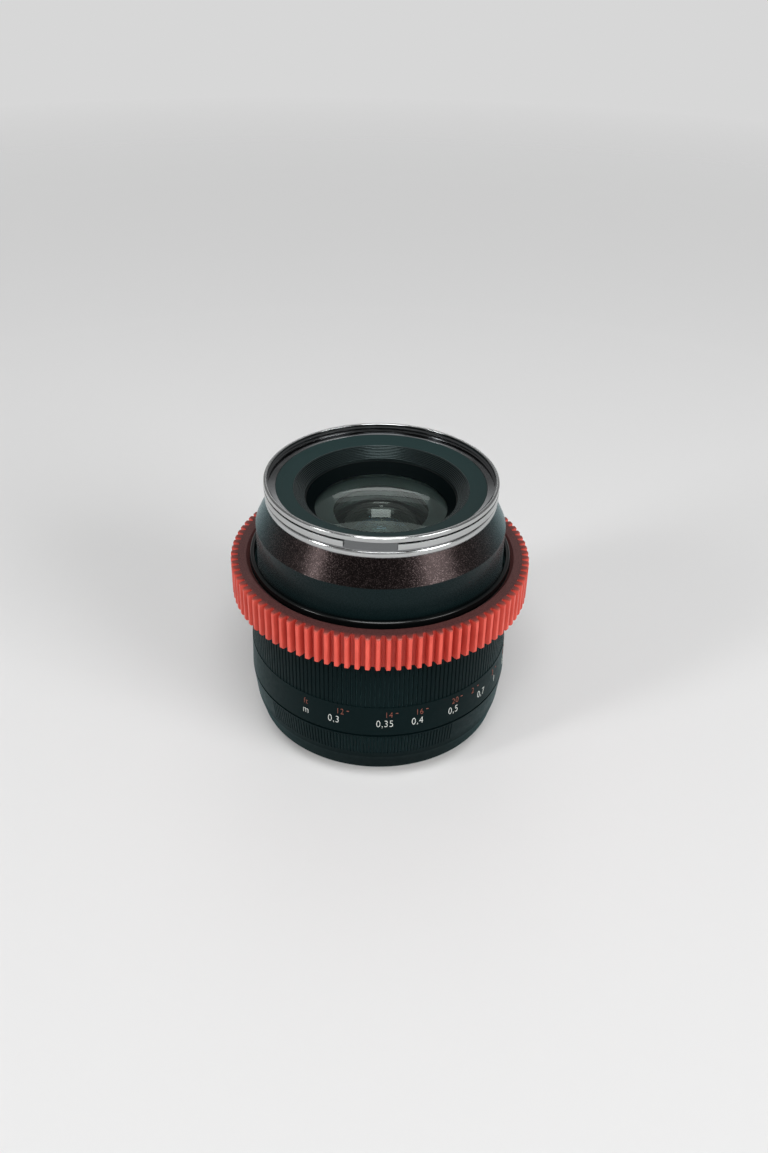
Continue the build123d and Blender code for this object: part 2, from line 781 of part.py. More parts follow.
with BuildPart() as barrel_screws:
    with PolarLocations(screw_circle_r, barrel_screw_count):
        with Locations((0, 0, web_top_z - screw_head_height / 2)):
            Cylinder(screw_head_r, screw_head_height)
        with Locations((0, 0, web_top_z - screw_length / 2)):
            Cylinder(screw_r - seat_gap, screw_length)
        with Locations((0, 0, web_top_z - screw_slot_depth / 2)):
            Box(2 * screw_head_r, screw_slot_width, screw_slot_depth, mode=Mode.SUBTRACT)
barrel_screws.part.label = "barrel_screws"
export_step(barrel_screws.part, "parts/barrel_screws.step")

# Filter ring: thread for filters inside, bayonet for a hood outside
lug_top_z = rim_z - lip_height - upper_groove_height
lug_bottom_z = lug_top_z - lug_height
strip_top_z = lug_bottom_z - lower_groove_height
thread_bottom_z = rim_z - filter_thread_length
clamp_lip_bottom_z = thread_bottom_z - clamp_lip_height
lug_span = full_turn / lug_count - lug_gap_span
hood_lug = ring_sector(lug_root_r - seat_gap, lug_outer_r, lug_gap_span / 2, lug_span)
with BuildPart() as filter_ring:
    with BuildSketch(Plane.XZ):
        with BuildLine():
            Polyline(
                (filter_neck_r + seat_gap, cone_top_z),
                (cone_top_r, cone_top_z),
                (strip_r, strip_top_z),
                (lug_root_r, strip_top_z),
                (lug_root_r, rim_z - lip_height),
                (lug_outer_r, rim_z - lip_height),
                (lug_outer_r, rim_z - rim_chamfer),
                (lug_outer_r - rim_chamfer, rim_z),
                (filter_thread_r + rim_chamfer, rim_z),
                (filter_thread_r, rim_z - rim_chamfer),
                (filter_thread_r, thread_bottom_z),
                (clamp_lip_r, thread_bottom_z),
                (clamp_lip_r, clamp_lip_bottom_z),
                (filter_neck_r + seat_gap, clamp_lip_bottom_z),
                close=True,
            )
        make_face()
    revolve(axis=Axis.Z)
    with BuildSketch(Plane.XY.offset(lug_bottom_z)):
        with PolarLocations(0, lug_count, lug_gap_azimuth):
            add(hood_lug)
    extrude(amount=lug_height)
filter_ring.part.label = "filter_ring"
export_step(filter_ring.part, "parts/filter_ring.step")

# Name ring under the filter thread, left blank
name_ring_top_z = thread_bottom_z - seat_gap
name_ring_bottom_z = clamp_lip_bottom_z - name_ring_flange
with BuildPart() as name_ring:
    with BuildSketch(Plane.XZ):
        with BuildLine():
            Polyline(
                (name_ring_inner_r, name_ring_bottom_z),
                (filter_neck_r, name_ring_bottom_z),
                (filter_neck_r, clamp_lip_bottom_z),
                (name_ring_outer_r, clamp_lip_bottom_z),
                (name_ring_outer_r, name_ring_top_z),
                (name_ring_inner_r, name_ring_top_z - name_ring_dish),
                close=True,
            )
        make_face()
    revolve(axis=Axis.Z)
name_ring.part.label = "name_ring"
export_step(name_ring.part, "parts/name_ring.step")

# Ridged baffle between the name ring and the front glass
baffle_top_z = name_ring_top_z - name_ring_dish
front_cell_top_z = baffle_top_z - ridge_depth - baffle_foot
ridge_outer_r = name_ring_inner_r - seat_gap
ridge_step = (ridge_outer_r - ridge_inner_r) / ridge_count
ridge_drop = ridge_depth / ridge_count
with BuildPart() as ridged_baffle:
    with BuildSketch(Plane.XZ):
        for ridge in range(ridge_count):
            step_r = ridge_outer_r - ridge * ridge_step
            step_z = baffle_top_z - ridge * ridge_drop
            ring_section(step_r - ridge_step, step_r, front_cell_top_z, step_z)
    revolve(axis=Axis.Z)
ridged_baffle.part.label = "ridged_baffle"
export_step(ridged_baffle.part, "parts/ridged_baffle.step")

# Ring that clamps the front glass, with a cone up to the baffle
retainer_lip_z = element_1_front_z - sag(element_1_front_curve, retainer_inner_r) + seat_gap
with BuildPart() as front_retainer:
    with BuildSketch(Plane.XZ):
        with BuildLine():
            Polyline(
                (element_1_front_reach, element_1_front_rim_z),
                (element_1_radius, element_1_front_rim_z),
                (element_1_radius, front_cell_top_z),
                (ridge_inner_r - ridge_step, front_cell_top_z),
                (retainer_inner_r, retainer_lip_z + retainer_lip),
                (retainer_inner_r, retainer_lip_z),
                (element_1_front_reach, retainer_lip_z),
                close=True,
            )
        make_face()
    revolve(axis=Axis.Z)
front_retainer.part.label = "front_retainer"
export_step(front_retainer.part, "parts/front_retainer.step")

# Cell of the five front elements
cell_bore_1_r = element_1_radius + seat_gap
cell_bore_2_r = element_2_radius + seat_gap
cell_bore_3_r = element_3_radius + seat_gap
cell_bore_4_r = front_doublet_radius + seat_gap
clamp_ring_top_z = element_4_front_rim_z + clamp_ring_height
with BuildPart() as front_cell:
    with BuildSketch(Plane.XZ):
        ring_section(0, front_cell_top_r, element_1_seat_z - cell_wall, front_cell_top_z)
        ring_section(0, cell_bore_2_r + cell_wall, element_2_seat_z - cell_wall, element_1_seat_z)
        ring_section(0, cell_bore_3_r + cell_wall, front_cell_bottom_z, element_2_seat_z)
        ring_section(0, front_cell_flange_r, tube_flange_top_z, web_bottom_z)
    revolve(axis=Axis.Z)
    with BuildSketch(Plane.XZ):
        ring_section(0, cell_bore_1_r, element_1_seat_z, front_cell_top_z)
        ring_section(0, cell_bore_2_r, element_2_seat_z, element_1_seat_z)
        ring_section(0, cell_bore_3_r, element_3_seat_z, element_2_seat_z)
        ring_section(0, element_3_reach, clamp_ring_top_z, element_3_seat_z)
        ring_section(0, cell_bore_4_r, element_5_seat_z, clamp_ring_top_z)
        ring_section(0, front_doublet_reach, front_cell_bottom_z, element_5_seat_z)
    revolve(axis=Axis.Z, mode=Mode.SUBTRACT)
    with BuildSketch(Plane.XY.offset(tube_flange_top_z)):
        with PolarLocations(screw_circle_r, barrel_screw_count):
            Circle(screw_r)
    extrude(amount=web_recess, mode=Mode.SUBTRACT)
front_cell.part.label = "front_cell"
export_step(front_cell.part, "parts/front_cell.step")

# Lens tube: slides in the collar of the guide sleeve, with a slot for each key
tube_flange_bore_r = front_cell_top_r + sliding_gap
tube_shoulder_r = lens_tube_bore_r - tube_shoulder
with BuildPart() as lens_barrel:
    with BuildSketch(Plane.XZ):
        ring_section(lens_tube_bore_r, lens_tube_r, lens_tube_bottom_z, iris_top_z)
        ring_section(tube_shoulder_r, lens_tube_r, iris_top_z, tube_flange_bottom_z)
        ring_section(tube_flange_bore_r, tube_flange_r, tube_flange_bottom_z, tube_flange_top_z)
    revolve(axis=Axis.Z)
    with BuildSketch(Plane.XY.offset(lens_tube_bottom_z)):
        with PolarLocations(lens_tube_r, key_count):
            Rectangle(2 * key_depth, key_width + 2 * key_fit)
    extrude(amount=key_top_z + key_slot_spare - lens_tube_bottom_z, mode=Mode.SUBTRACT)
    with BuildSketch(Plane.XY.offset(tube_flange_bottom_z)):
        with PolarLocations(screw_circle_r, barrel_screw_count):
            Circle(screw_r)
    extrude(amount=tube_flange_height, mode=Mode.SUBTRACT)
lens_barrel.part.label = "lens_barrel"
export_step(lens_barrel.part, "parts/lens_barrel.step")

# Spacers and clamp rings between the elements
with BuildPart() as lens_spacers:
    with BuildSketch(Plane.XZ):
        ring_section(
            element_2_front_reach, element_2_radius, element_2_front_rim_z, element_1_seat_z
        )
        ring_section(
            element_3_reach, element_3_radius, element_3_front_rim_z, element_2_seat_z
        )
        ring_section(
            front_doublet_reach, front_doublet_radius, element_4_front_rim_z, clamp_ring_top_z
        )
        ring_section(
            rear_pair_reach, rear_pair_radius, element_9_front_rim_z, element_8_rear_rim_z
        )
    revolve(axis=Axis.Z)
lens_spacers.part.label = "lens_spacers"
export_step(lens_spacers.part, "parts/lens_spacers.step")

# The nine elements: five in front of the iris and four behind it
glass_sections = (
    glass_section(
        element_1_radius,
        element_1_front_z,
        element_1_front_curve,
        element_1_front_reach,
        element_1_rear_z,
        element_1_rear_curve,
        element_1_rear_reach,
    ),
    glass_section(
        element_2_radius,
        element_2_front_z,
        element_2_front_curve,
        element_2_front_reach,
        element_2_rear_z,
        element_2_rear_curve,
        element_2_rear_reach,
    ),
    glass_section(
        element_3_radius,
        element_3_front_z,
        element_3_front_curve,
        element_3_reach,
        element_3_rear_z,
        element_3_rear_curve,
        element_3_reach,
    ),
    glass_section(
        front_doublet_radius,
        element_4_front_z,
        element_4_front_curve,
        front_doublet_reach,
        front_cement_z,
        front_cement_curve,
        front_doublet_radius,
    ),
    glass_section(
        front_doublet_radius,
        front_cement_z,
        -front_cement_curve,
        front_doublet_radius,
        element_5_rear_z,
        element_5_rear_curve,
        front_doublet_reach,
    ),
    glass_section(
        rear_doublet_radius,
        element_6_front_z,
        element_6_front_curve,
        rear_doublet_reach,
        rear_cement_z,
        rear_cement_curve,
        rear_doublet_radius,
    ),
    glass_section(
        rear_doublet_radius,
        rear_cement_z,
        -rear_cement_curve,
        rear_doublet_radius,
        element_7_rear_z,
        element_7_rear_curve,
        rear_doublet_reach,
    ),
    glass_section(
        rear_pair_radius,
        element_8_front_z,
        element_8_front_curve,
        rear_pair_reach,
        element_8_rear_z,
        element_8_rear_curve,
        rear_pair_reach,
    ),
    glass_section(
        rear_pair_radius,
        element_9_front_z,
        element_9_front_curve,
        rear_pair_reach,
        element_9_rear_z,
        element_9_rear_curve,
        rear_pair_reach,
    ),
)
for number, section in enumerate(glass_sections, start=1):
    with BuildPart() as element:
        with BuildSketch(Plane.XZ):
            add(section)
        revolve(axis=Axis.Z)
    element.part.label = f"element_{number}"
    export_step(element.part, f"parts/element_{number}.step")

# Iris sizes from the lens tube inwards: motor, drive teeth, blade pivots, blades, aperture
motor_room_r = lens_tube_bore_r - motor_margin - motor_r
drive_ring_teeth = 2 * round(motor_room_r / drive_module - pinion_teeth / 2)
drive_pitch_r = drive_module * drive_ring_teeth / 2
pivot_r = drive_pitch_r - pivot_inset
blade_inner_r = pivot_r - blade_inner_inset
blade_outer_r = pivot_r - blade_outer_inset
iris_aperture_r = blade_inner_r - aperture_inset

# Iris housing, pushed up against the shoulder of the lens tube
housing_outer_r = lens_tube_bore_r - seat_gap
housing_inner_r = housing_outer_r - iris_wall
with BuildPart() as iris_housing:
    with BuildSketch(Plane.XZ):
        ring_section(iris_aperture_r, housing_outer_r, plate_bottom_z, iris_top_z)
        ring_section(housing_inner_r, housing_outer_r, cover_bottom_z, plate_bottom_z)
    revolve(axis=Axis.Z)
    with BuildSketch(Plane.XY.offset(plate_bottom_z)):
        with PolarLocations(pivot_r, blade_count):
            Circle(pivot_pin_r + pivot_gap)
    extrude(amount=pivot_pin_sunk + iris_level_gap, mode=Mode.SUBTRACT)
iris_housing.part.label = "iris_housing"
export_step(iris_housing.part, "parts/iris_housing.step")

# Blades: each turns on a pin in the housing and is swung by a pin in a slot of the cam ring
blade_body = ring_sector(
    blade_inner_r, blade_outer_r, -blade_root_sweep, blade_sweep + blade_root_sweep
)
with BuildSketch() as blade_shape:
    add(blade_body)
    with Locations((pivot_r, 0)):
        Circle(pivot_ear_r)
    with Locations((pivot_r, -drive_arm / 2)):
        SlotCenterToCenter(drive_arm, 2 * pivot_pin_r + 2 * drive_pin_r, rotation=90)
blade_step = full_turn / blade_count
for blade_number in range(blade_count):
    blade_z = blade_base_z + blade_number * blade_pitch
    with BuildPart() as iris_blade:
        with BuildSketch(Plane.XY.offset(blade_z)):
            with PolarLocations(0, 1, blade_number * blade_step):
                add(blade_shape.sketch)
        extrude(amount=blade_thickness)
        with BuildSketch(Plane.XY.offset(blade_z)):
            with PolarLocations(0, 1, blade_number * blade_step):
                with Locations((pivot_r, 0)):
                    Circle(pivot_pin_r)
        extrude(amount=plate_bottom_z + pivot_pin_sunk - blade_z)
        with BuildSketch(Plane.XY.offset(cam_ring_top_z - drive_pin_sunk)):
            with PolarLocations(0, 1, blade_number * blade_step):
                with Locations((pivot_r, -drive_arm)):
                    Circle(drive_pin_r)
        extrude(amount=blade_z + blade_thickness - cam_ring_top_z + drive_pin_sunk)
    iris_blade.part.label = f"iris_blade_{blade_number + 1}"
    export_step(iris_blade.part, f"parts/iris_blade_{blade_number + 1}.step")


def drive_pin_place(swing):
    # Where a blade's drive pin lies in the cam ring when the ring and the blade have both swung
    x = pivot_r + drive_arm * sin(radians(swing))
    y = -drive_arm * cos(radians(swing))
    turn = radians(-swing)
    return (x * cos(turn) - y * sin(turn), x * sin(turn) + y * cos(turn))


# Cam ring with a slot for each blade and a sector of teeth for the motor
cam_ring_outer_r = drive_pitch_r - dedendum_ratio * drive_module
cam_ring_inner_r = iris_aperture_r + cam_collar_wall + cam_bore_gap
drive_step = full_turn / drive_ring_teeth
sector_start = motor_azimuth - (sector_teeth - sector_lead) * drive_step
sector_span = (sector_teeth - 1) * drive_step
slot_width = 2 * (drive_pin_r + drive_gap)
slot_path = ThreePointArc(
    drive_pin_place(0), drive_pin_place(blade_swing / 2), drive_pin_place(blade_swing)
)
drive_tooth = involute_tooth(
    drive_module, drive_ring_teeth, drive_addendum, drive_backlash, drive_pressure_angle
)
with BuildPart() as iris_cam_ring:
    with BuildSketch(Plane.XY.offset(cam_ring_bottom_z)):
        Circle(cam_ring_outer_r)
        with PolarLocations(0, sector_teeth, sector_start, sector_span, endpoint=True):
            add(drive_tooth)
        Circle(cam_ring_inner_r, mode=Mode.SUBTRACT)
        with PolarLocations(0, blade_count):
            SlotArc(slot_path, slot_width, mode=Mode.SUBTRACT)
    extrude(amount=cam_ring_height)
iris_cam_ring.part.label = "iris_cam_ring"
export_step(iris_cam_ring.part, "parts/iris_cam_ring.step")

# Iris cover with the collar that the cam ring turns on
pinion_pitch_r = drive_module * pinion_teeth / 2
motor_circle_r = drive_pitch_r + pinion_pitch_r
motor_plane = Plane.XY.rotated((0, 0, motor_azimuth))
with BuildPart() as iris_cover:
    with BuildSketch(Plane.XZ):
        ring_section(iris_aperture_r, housing_inner_r - seat_gap, cover_bottom_z, cover_top_z)
        ring_section(
            iris_aperture_r, cam_ring_inner_r - cam_bore_gap, cover_top_z, cam_ring_top_z
        )
    revolve(axis=Axis.Z)
    with BuildSketch(motor_plane.offset(cover_bottom_z)):
        with Locations((motor_circle_r, 0)):
            Circle(motor_shaft_r + shaft_gap)
    extrude(amount=iris_cover_height, mode=Mode.SUBTRACT)
iris_cover.part.label = "iris_cover"
export_step(iris_cover.part, "parts/iris_cover.step")

# Rear cell of the four rear elements, with the flange that closes the lens tube
rear_cell_outer_r = rear_pair_radius + seat_gap + cell_wall
rear_flange_bottom_z = cover_bottom_z - rear_flange_height
with BuildPart() as rear_cell:
    with BuildSketch(Plane.XZ):
        ring_section(0, rear_cell_outer_r, rear_cell_bottom_z, cover_bottom_z)
        ring_section(0, housing_outer_r, rear_flange_bottom_z, cover_bottom_z)
    revolve(axis=Axis.Z)
    with BuildSketch(Plane.XZ):
        ring_section(0, rear_doublet_radius + seat_gap, element_7_seat_z, cover_bottom_z)
        ring_section(0, rear_doublet_reach, element_8_front_rim_z, element_7_seat_z)
        ring_section(
            0, rear_pair_radius + seat_gap, rear_cell_bottom_z, element_8_front_rim_z
        )
    revolve(axis=Axis.Z, mode=Mode.SUBTRACT)
    with BuildSketch(motor_plane.offset(rear_flange_bottom_z)):
        with Locations((motor_circle_r, 0)):
            Circle(motor_shaft_r + shaft_gap)
        with Locations((motor_circle_r, motor_screw_spread), (motor_circle_r, -motor_screw_spread)):
            Circle(motor_screw_r + seat_gap)
    extrude(amount=rear_flange_height, mode=Mode.SUBTRACT)
rear_cell.part.label = "rear_cell"
export_step(rear_cell.part, "parts/rear_cell.step")

with BuildPart() as rear_retainer:
    with BuildSketch(Plane.XZ):
        ring_section(
            rear_pair_reach, rear_pair_radius, rear_cell_bottom_z, element_9_rear_rim_z
        )
    revolve(axis=Axis.Z)
    with BuildSketch(Plane.XY.offset(rear_cell_bottom_z)):
        with PolarLocations(rear_pair_reach, 2):
            Rectangle(spanner_notch, spanner_notch)
    extrude(amount=rear_retainer_height / 2, mode=Mode.SUBTRACT)
rear_retainer.part.label = "rear_retainer"
export_step(rear_retainer.part, "parts/rear_retainer.step")

# Stepper motor on its bracket under the flange, with a pinion beside the cam ring
bracket_bottom_z = rear_flange_bottom_z - bracket_thickness
motor_bottom_z = bracket_bottom_z - motor_length
with BuildPart() as motor_bracket:
    with BuildSketch(motor_plane.offset(bracket_bottom_z)):
        with Locations((motor_circle_r, 0)):
            SlotOverall(bracket_length, bracket_width, rotation=90)
            Circle(motor_shaft_r + shaft_gap, mode=Mode.SUBTRACT)
        with Locations((motor_circle_r, motor_screw_spread), (motor_circle_r, -motor_screw_spread)):
            Circle(motor_screw_r + seat_gap, mode=Mode.SUBTRACT)
    extrude(amount=bracket_thickness)
motor_bracket.part.label = "motor_bracket"
export_step(motor_bracket.part, "parts/motor_bracket.step")

with BuildPart() as stepper_motor:
    with BuildSketch(motor_plane.offset(motor_bottom_z)):
        with Locations((motor_circle_r, 0)):
            Circle(motor_r)
    extrude(amount=motor_length)
    with BuildSketch(motor_plane.offset(bracket_bottom_z - motor_shaft_sunk)):
        with Locations((motor_circle_r, 0)):
            Circle(motor_shaft_r + shaft_gap)
    extrude(amount=motor_shaft_sunk, mode=Mode.SUBTRACT)
stepper_motor.part.label = "stepper_motor"
export_step(stepper_motor.part, "parts/stepper_motor.step")

motor_screw_head_z = bracket_bottom_z - motor_screw_head_height
with BuildPart() as motor_screws:
    with BuildSketch(motor_plane.offset(motor_screw_head_z)):
        with Locations((motor_circle_r, motor_screw_spread), (motor_circle_r, -motor_screw_spread)):
            Circle(motor_screw_head_r)
    extrude(amount=motor_screw_head_height)
    with BuildSketch(motor_plane.offset(bracket_bottom_z)):
        with Locations((motor_circle_r, motor_screw_spread), (motor_circle_r, -motor_screw_spread)):
            Circle(motor_screw_r)
    extrude(amount=motor_screw_length)
motor_screws.part.label = "motor_screws"
export_step(motor_screws.part, "parts/motor_screws.step")

pinion_tooth = involute_tooth(
    drive_module, pinion_teeth, drive_addendum, drive_backlash, drive_pressure_angle
)
half_tooth_turn = 180 / pinion_teeth
with BuildPart() as motor_pinion:
    with BuildSketch(motor_plane.offset(cam_ring_bottom_z)):
        with Locations((motor_circle_r, 0)):
            Circle(pinion_pitch_r - dedendum_ratio * drive_module)
            with PolarLocations(0, pinion_teeth, half_tooth_turn):
                add(pinion_tooth)
    extrude(amount=cam_ring_height)
    with BuildSketch(motor_plane.offset(bracket_bottom_z - motor_shaft_sunk + end_gap)):
        with Locations((motor_circle_r, 0)):
            Circle(motor_shaft_r)
    extrude(amount=cam_ring_bottom_z - bracket_bottom_z + motor_shaft_sunk - end_gap)
motor_pinion.part.label = "motor_pinion"
export_step(motor_pinion.part, "parts/motor_pinion.step")

# Mount: shim, bayonet flange with three lugs, and the screws that hold it
flange_top_z = floor_bottom_z - shim_thickness
mount_face = Plane(origin=(0, 0, bayonet_depth), x_dir=(1, 0, 0), z_dir=(0, 0, -1))
lug_start = index_azimuth - bayonet_lug_span / 2
bayonet_lug = ring_sector(
    bayonet_tube_r - seat_gap, bayonet_lug_r, lug_start, bayonet_lug_span
)
with BuildPart() as mount_shim:
    with BuildSketch(Plane.XY.offset(flange_top_z)):
        Circle(flange_r)
        Circle(floor_bore_r, mode=Mode.SUBTRACT)
        with PolarLocations(mount_screw_circle_r, mount_screw_count, index_azimuth):
            Circle(mount_screw_r + seat_gap, mode=Mode.SUBTRACT)
    extrude(amount=shim_thickness)
mount_shim.part.label = "mount_shim"
export_step(mount_shim.part, "parts/mount_shim.step")

with BuildPart() as mount_flange:
    with BuildSketch(Plane.XZ):
        ring_section(throat_r, bayonet_tube_r, 0, bayonet_depth)
        ring_section(throat_r, flange_r, bayonet_depth, flange_top_z)
    revolve(axis=Axis.Z)
    with BuildSketch(Plane.XY.offset(bayonet_lug_lift)):
        with PolarLocations(0, bayonet_lug_count):
            add(bayonet_lug)
    extrude(amount=bayonet_lug_height)
    with BuildSketch(Plane.XY.offset(bayonet_depth)):
        with PolarLocations(mount_screw_circle_r, 1, index_azimuth + lock_slot_turn):
            SlotOverall(lock_slot_length, lock_slot_width)
    extrude(amount=flange_top_z - bayonet_depth, mode=Mode.SUBTRACT)
    with Locations(mount_face):
        with PolarLocations(mount_screw_circle_r, mount_screw_count, -index_azimuth):
            CounterSinkHole(mount_screw_r + seat_gap, mount_screw_head_r + seat_gap)
mount_flange.part.label = "mount_flange"
export_step(mount_flange.part, "parts/mount_flange.step")

with BuildPart() as mount_screws:
    mount_screw_cone = mount_screw_head_r - mount_screw_r
    with PolarLocations(mount_screw_circle_r, mount_screw_count, index_azimuth):
        with Locations((0, 0, bayonet_depth + mount_screw_cone / 2)):
            Cone(mount_screw_head_r, mount_screw_r, mount_screw_cone)
        with Locations((0, 0, bayonet_depth + mount_screw_length / 2)):
            Cylinder(mount_screw_r, mount_screw_length)
        with Locations((0, 0, bayonet_depth + screw_slot_depth / 2)):
            Box(2 * mount_screw_head_r, screw_slot_width, screw_slot_depth, mode=Mode.SUBTRACT)
mount_screws.part.label = "mount_screws"
export_step(mount_screws.part, "parts/mount_screws.step")

# Contact block inside the bayonet tube, opposite the index
contact_azimuth = index_azimuth + 180
contact_outer_r = throat_r - seat_gap
contact_inner_r = contact_outer_r - contact_block_depth
contact_circle_r = (contact_inner_r + contact_outer_r) / 2
contact_top_z = contact_block_lift + contact_block_height
first_contact = contact_azimuth - contact_pitch * (contact_count - 1) / 2
contact_sweep = contact_pitch * (contact_count - 1)
contact_sector = ring_sector(
    contact_inner_r,
    contact_outer_r,
    contact_azimuth - contact_block_span / 2,
    contact_block_span,
)
first_screw = contact_azimuth - contact_screw_span / 2
with BuildPart() as contact_block:
    with BuildSketch(Plane.XY.offset(contact_block_lift)):
        add(contact_sector)
    extrude(amount=contact_block_height)
    with BuildSketch(Plane.XY.offset(contact_block_lift)):
        with PolarLocations(
            contact_circle_r, contact_count, first_contact, contact_sweep, endpoint=True
        ):
            Circle(contact_pin_r + seat_gap)
    extrude(amount=contact_pin_sunk, mode=Mode.SUBTRACT)
    with BuildSketch(Plane.XY.offset(contact_block_lift)):
        with PolarLocations(contact_circle_r, 2, first_screw, contact_screw_span, endpoint=True):
            Circle(contact_screw_r + seat_gap)
    extrude(amount=contact_screw_length, mode=Mode.SUBTRACT)
contact_block.part.label = "contact_block"
export_step(contact_block.part, "parts/contact_block.step")

with BuildPart() as contact_pins:
    with BuildSketch(Plane.XY.offset(contact_block_lift - contact_pin_proud)):
        with PolarLocations(
            contact_circle_r, contact_count, first_contact, contact_sweep, endpoint=True
        ):
            Circle(contact_pin_r)
    extrude(amount=contact_pin_proud + contact_pin_sunk)
contact_pins.part.label = "contact_pins"
export_step(contact_pins.part, "parts/contact_pins.step")

with BuildPart() as contact_screws:
    with BuildSketch(Plane.XY.offset(contact_block_lift)):
        with PolarLocations(contact_circle_r, 2, first_screw, contact_screw_span, endpoint=True):
            Circle(contact_screw_r)
    extrude(amount=contact_screw_length)
contact_screws.part.label = "contact_screws"
export_step(contact_screws.part, "parts/contact_screws.step")

# Rear light baffle: a cup in the throat with a window of the picture's shape
with BuildPart() as rear_baffle:
    with BuildSketch(Plane.XZ):
        ring_section(0, contact_outer_r, contact_top_z, contact_top_z + baffle_wall)
        ring_section(
            contact_outer_r - baffle_wall, contact_outer_r, contact_top_z, flange_top_z
        )
    revolve(axis=Axis.Z)
    with BuildSketch(Plane.XY.offset(contact_top_z).rotated((0, 0, index_azimuth))):
        RectangleRounded(baffle_window_height, baffle_window_width, baffle_corner)
    extrude(amount=baffle_wall, mode=Mode.SUBTRACT)
rear_baffle.part.label = "rear_baffle"
export_step(rear_baffle.part, "parts/rear_baffle.step")

# Circuit board on the floor of the rear barrel, with its chips
board_outer_r = barrel_cavity_r - board_gap
board_inner_r = board_outer_r - board_width
board_middle_r = (board_inner_r + board_outer_r) / 2
board_start = contact_azimuth - board_span / 2
board_sector = ring_sector(board_inner_r, board_outer_r, board_start, board_span)
first_chip = contact_azimuth - chip_spacing * (chip_count - 1) / 2
chip_sweep = chip_spacing * (chip_count - 1)
with BuildPart() as circuit_board:
    with BuildSketch(Plane.XY.offset(floor_top_z)):
        add(board_sector)
    extrude(amount=board_thickness)
circuit_board.part.label = "circuit_board"
export_step(circuit_board.part, "parts/circuit_board.step")

with BuildPart() as board_chips:
    with BuildSketch(Plane.XY.offset(floor_top_z + board_thickness)):
        with PolarLocations(board_middle_r, chip_count, first_chip, chip_sweep, endpoint=True):
            Rectangle(chip_width, chip_length)
    extrude(amount=chip_height)
board_chips.part.label = "board_chips"
export_step(board_chips.part, "parts/board_chips.step")
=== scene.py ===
import bpy
import math
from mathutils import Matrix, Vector


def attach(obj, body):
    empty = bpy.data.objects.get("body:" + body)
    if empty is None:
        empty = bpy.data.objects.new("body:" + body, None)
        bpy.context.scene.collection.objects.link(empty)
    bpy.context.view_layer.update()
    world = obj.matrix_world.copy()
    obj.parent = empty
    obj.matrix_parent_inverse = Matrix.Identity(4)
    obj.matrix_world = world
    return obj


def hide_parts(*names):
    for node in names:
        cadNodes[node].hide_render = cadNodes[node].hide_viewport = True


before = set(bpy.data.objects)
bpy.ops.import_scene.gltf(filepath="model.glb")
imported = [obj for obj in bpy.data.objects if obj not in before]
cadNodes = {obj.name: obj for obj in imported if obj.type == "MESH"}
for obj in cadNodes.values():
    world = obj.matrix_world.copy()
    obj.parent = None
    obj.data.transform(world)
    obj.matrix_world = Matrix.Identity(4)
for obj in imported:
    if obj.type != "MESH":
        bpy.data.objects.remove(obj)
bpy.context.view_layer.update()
mm = 0.001
print("frame loaded:", len(cadNodes), "nodes")


# Shader wiring: an expression on wires adds its maths nodes

class Wire:
    def __init__(self, tree, socket=None):
        self.tree = tree
        self.socket = socket

    def node(self, kind, settings=None, inputs=None, output=0):
        made = self.tree.nodes.new("ShaderNode" + kind)
        for name, value in (settings or {}).items():
            setattr(made, name, value)
        for name, value in (inputs or {}).items():
            if isinstance(value, Wire):
                self.tree.links.new(value.socket, made.inputs[name])
            else:
                made.inputs[name].default_value = value
        return Wire(self.tree, made.outputs[output])

    def maths(self, operation, second=0.0):
        return self.node("Math", {"operation": operation}, {0: self, 1: second})

    def __add__(self, other):
        return self.maths("ADD", other)

    __radd__ = __add__

    def __sub__(self, other):
        return self.maths("SUBTRACT", other)

    def __rsub__(self, other):
        return self.node("Math", {"operation": "SUBTRACT"}, {0: other, 1: self})

    def __mul__(self, other):
        return self.maths("MULTIPLY", other)

    __rmul__ = __mul__

    def __gt__(self, other):
        return self.maths("GREATER_THAN", other)

    def __lt__(self, other):
        return self.maths("LESS_THAN", other)


noiseSpan = (0.3, 0.7)  # most of a noise lies between these
pairSpan = (0.7, 1.3)  # and most of the sum of two noises between these


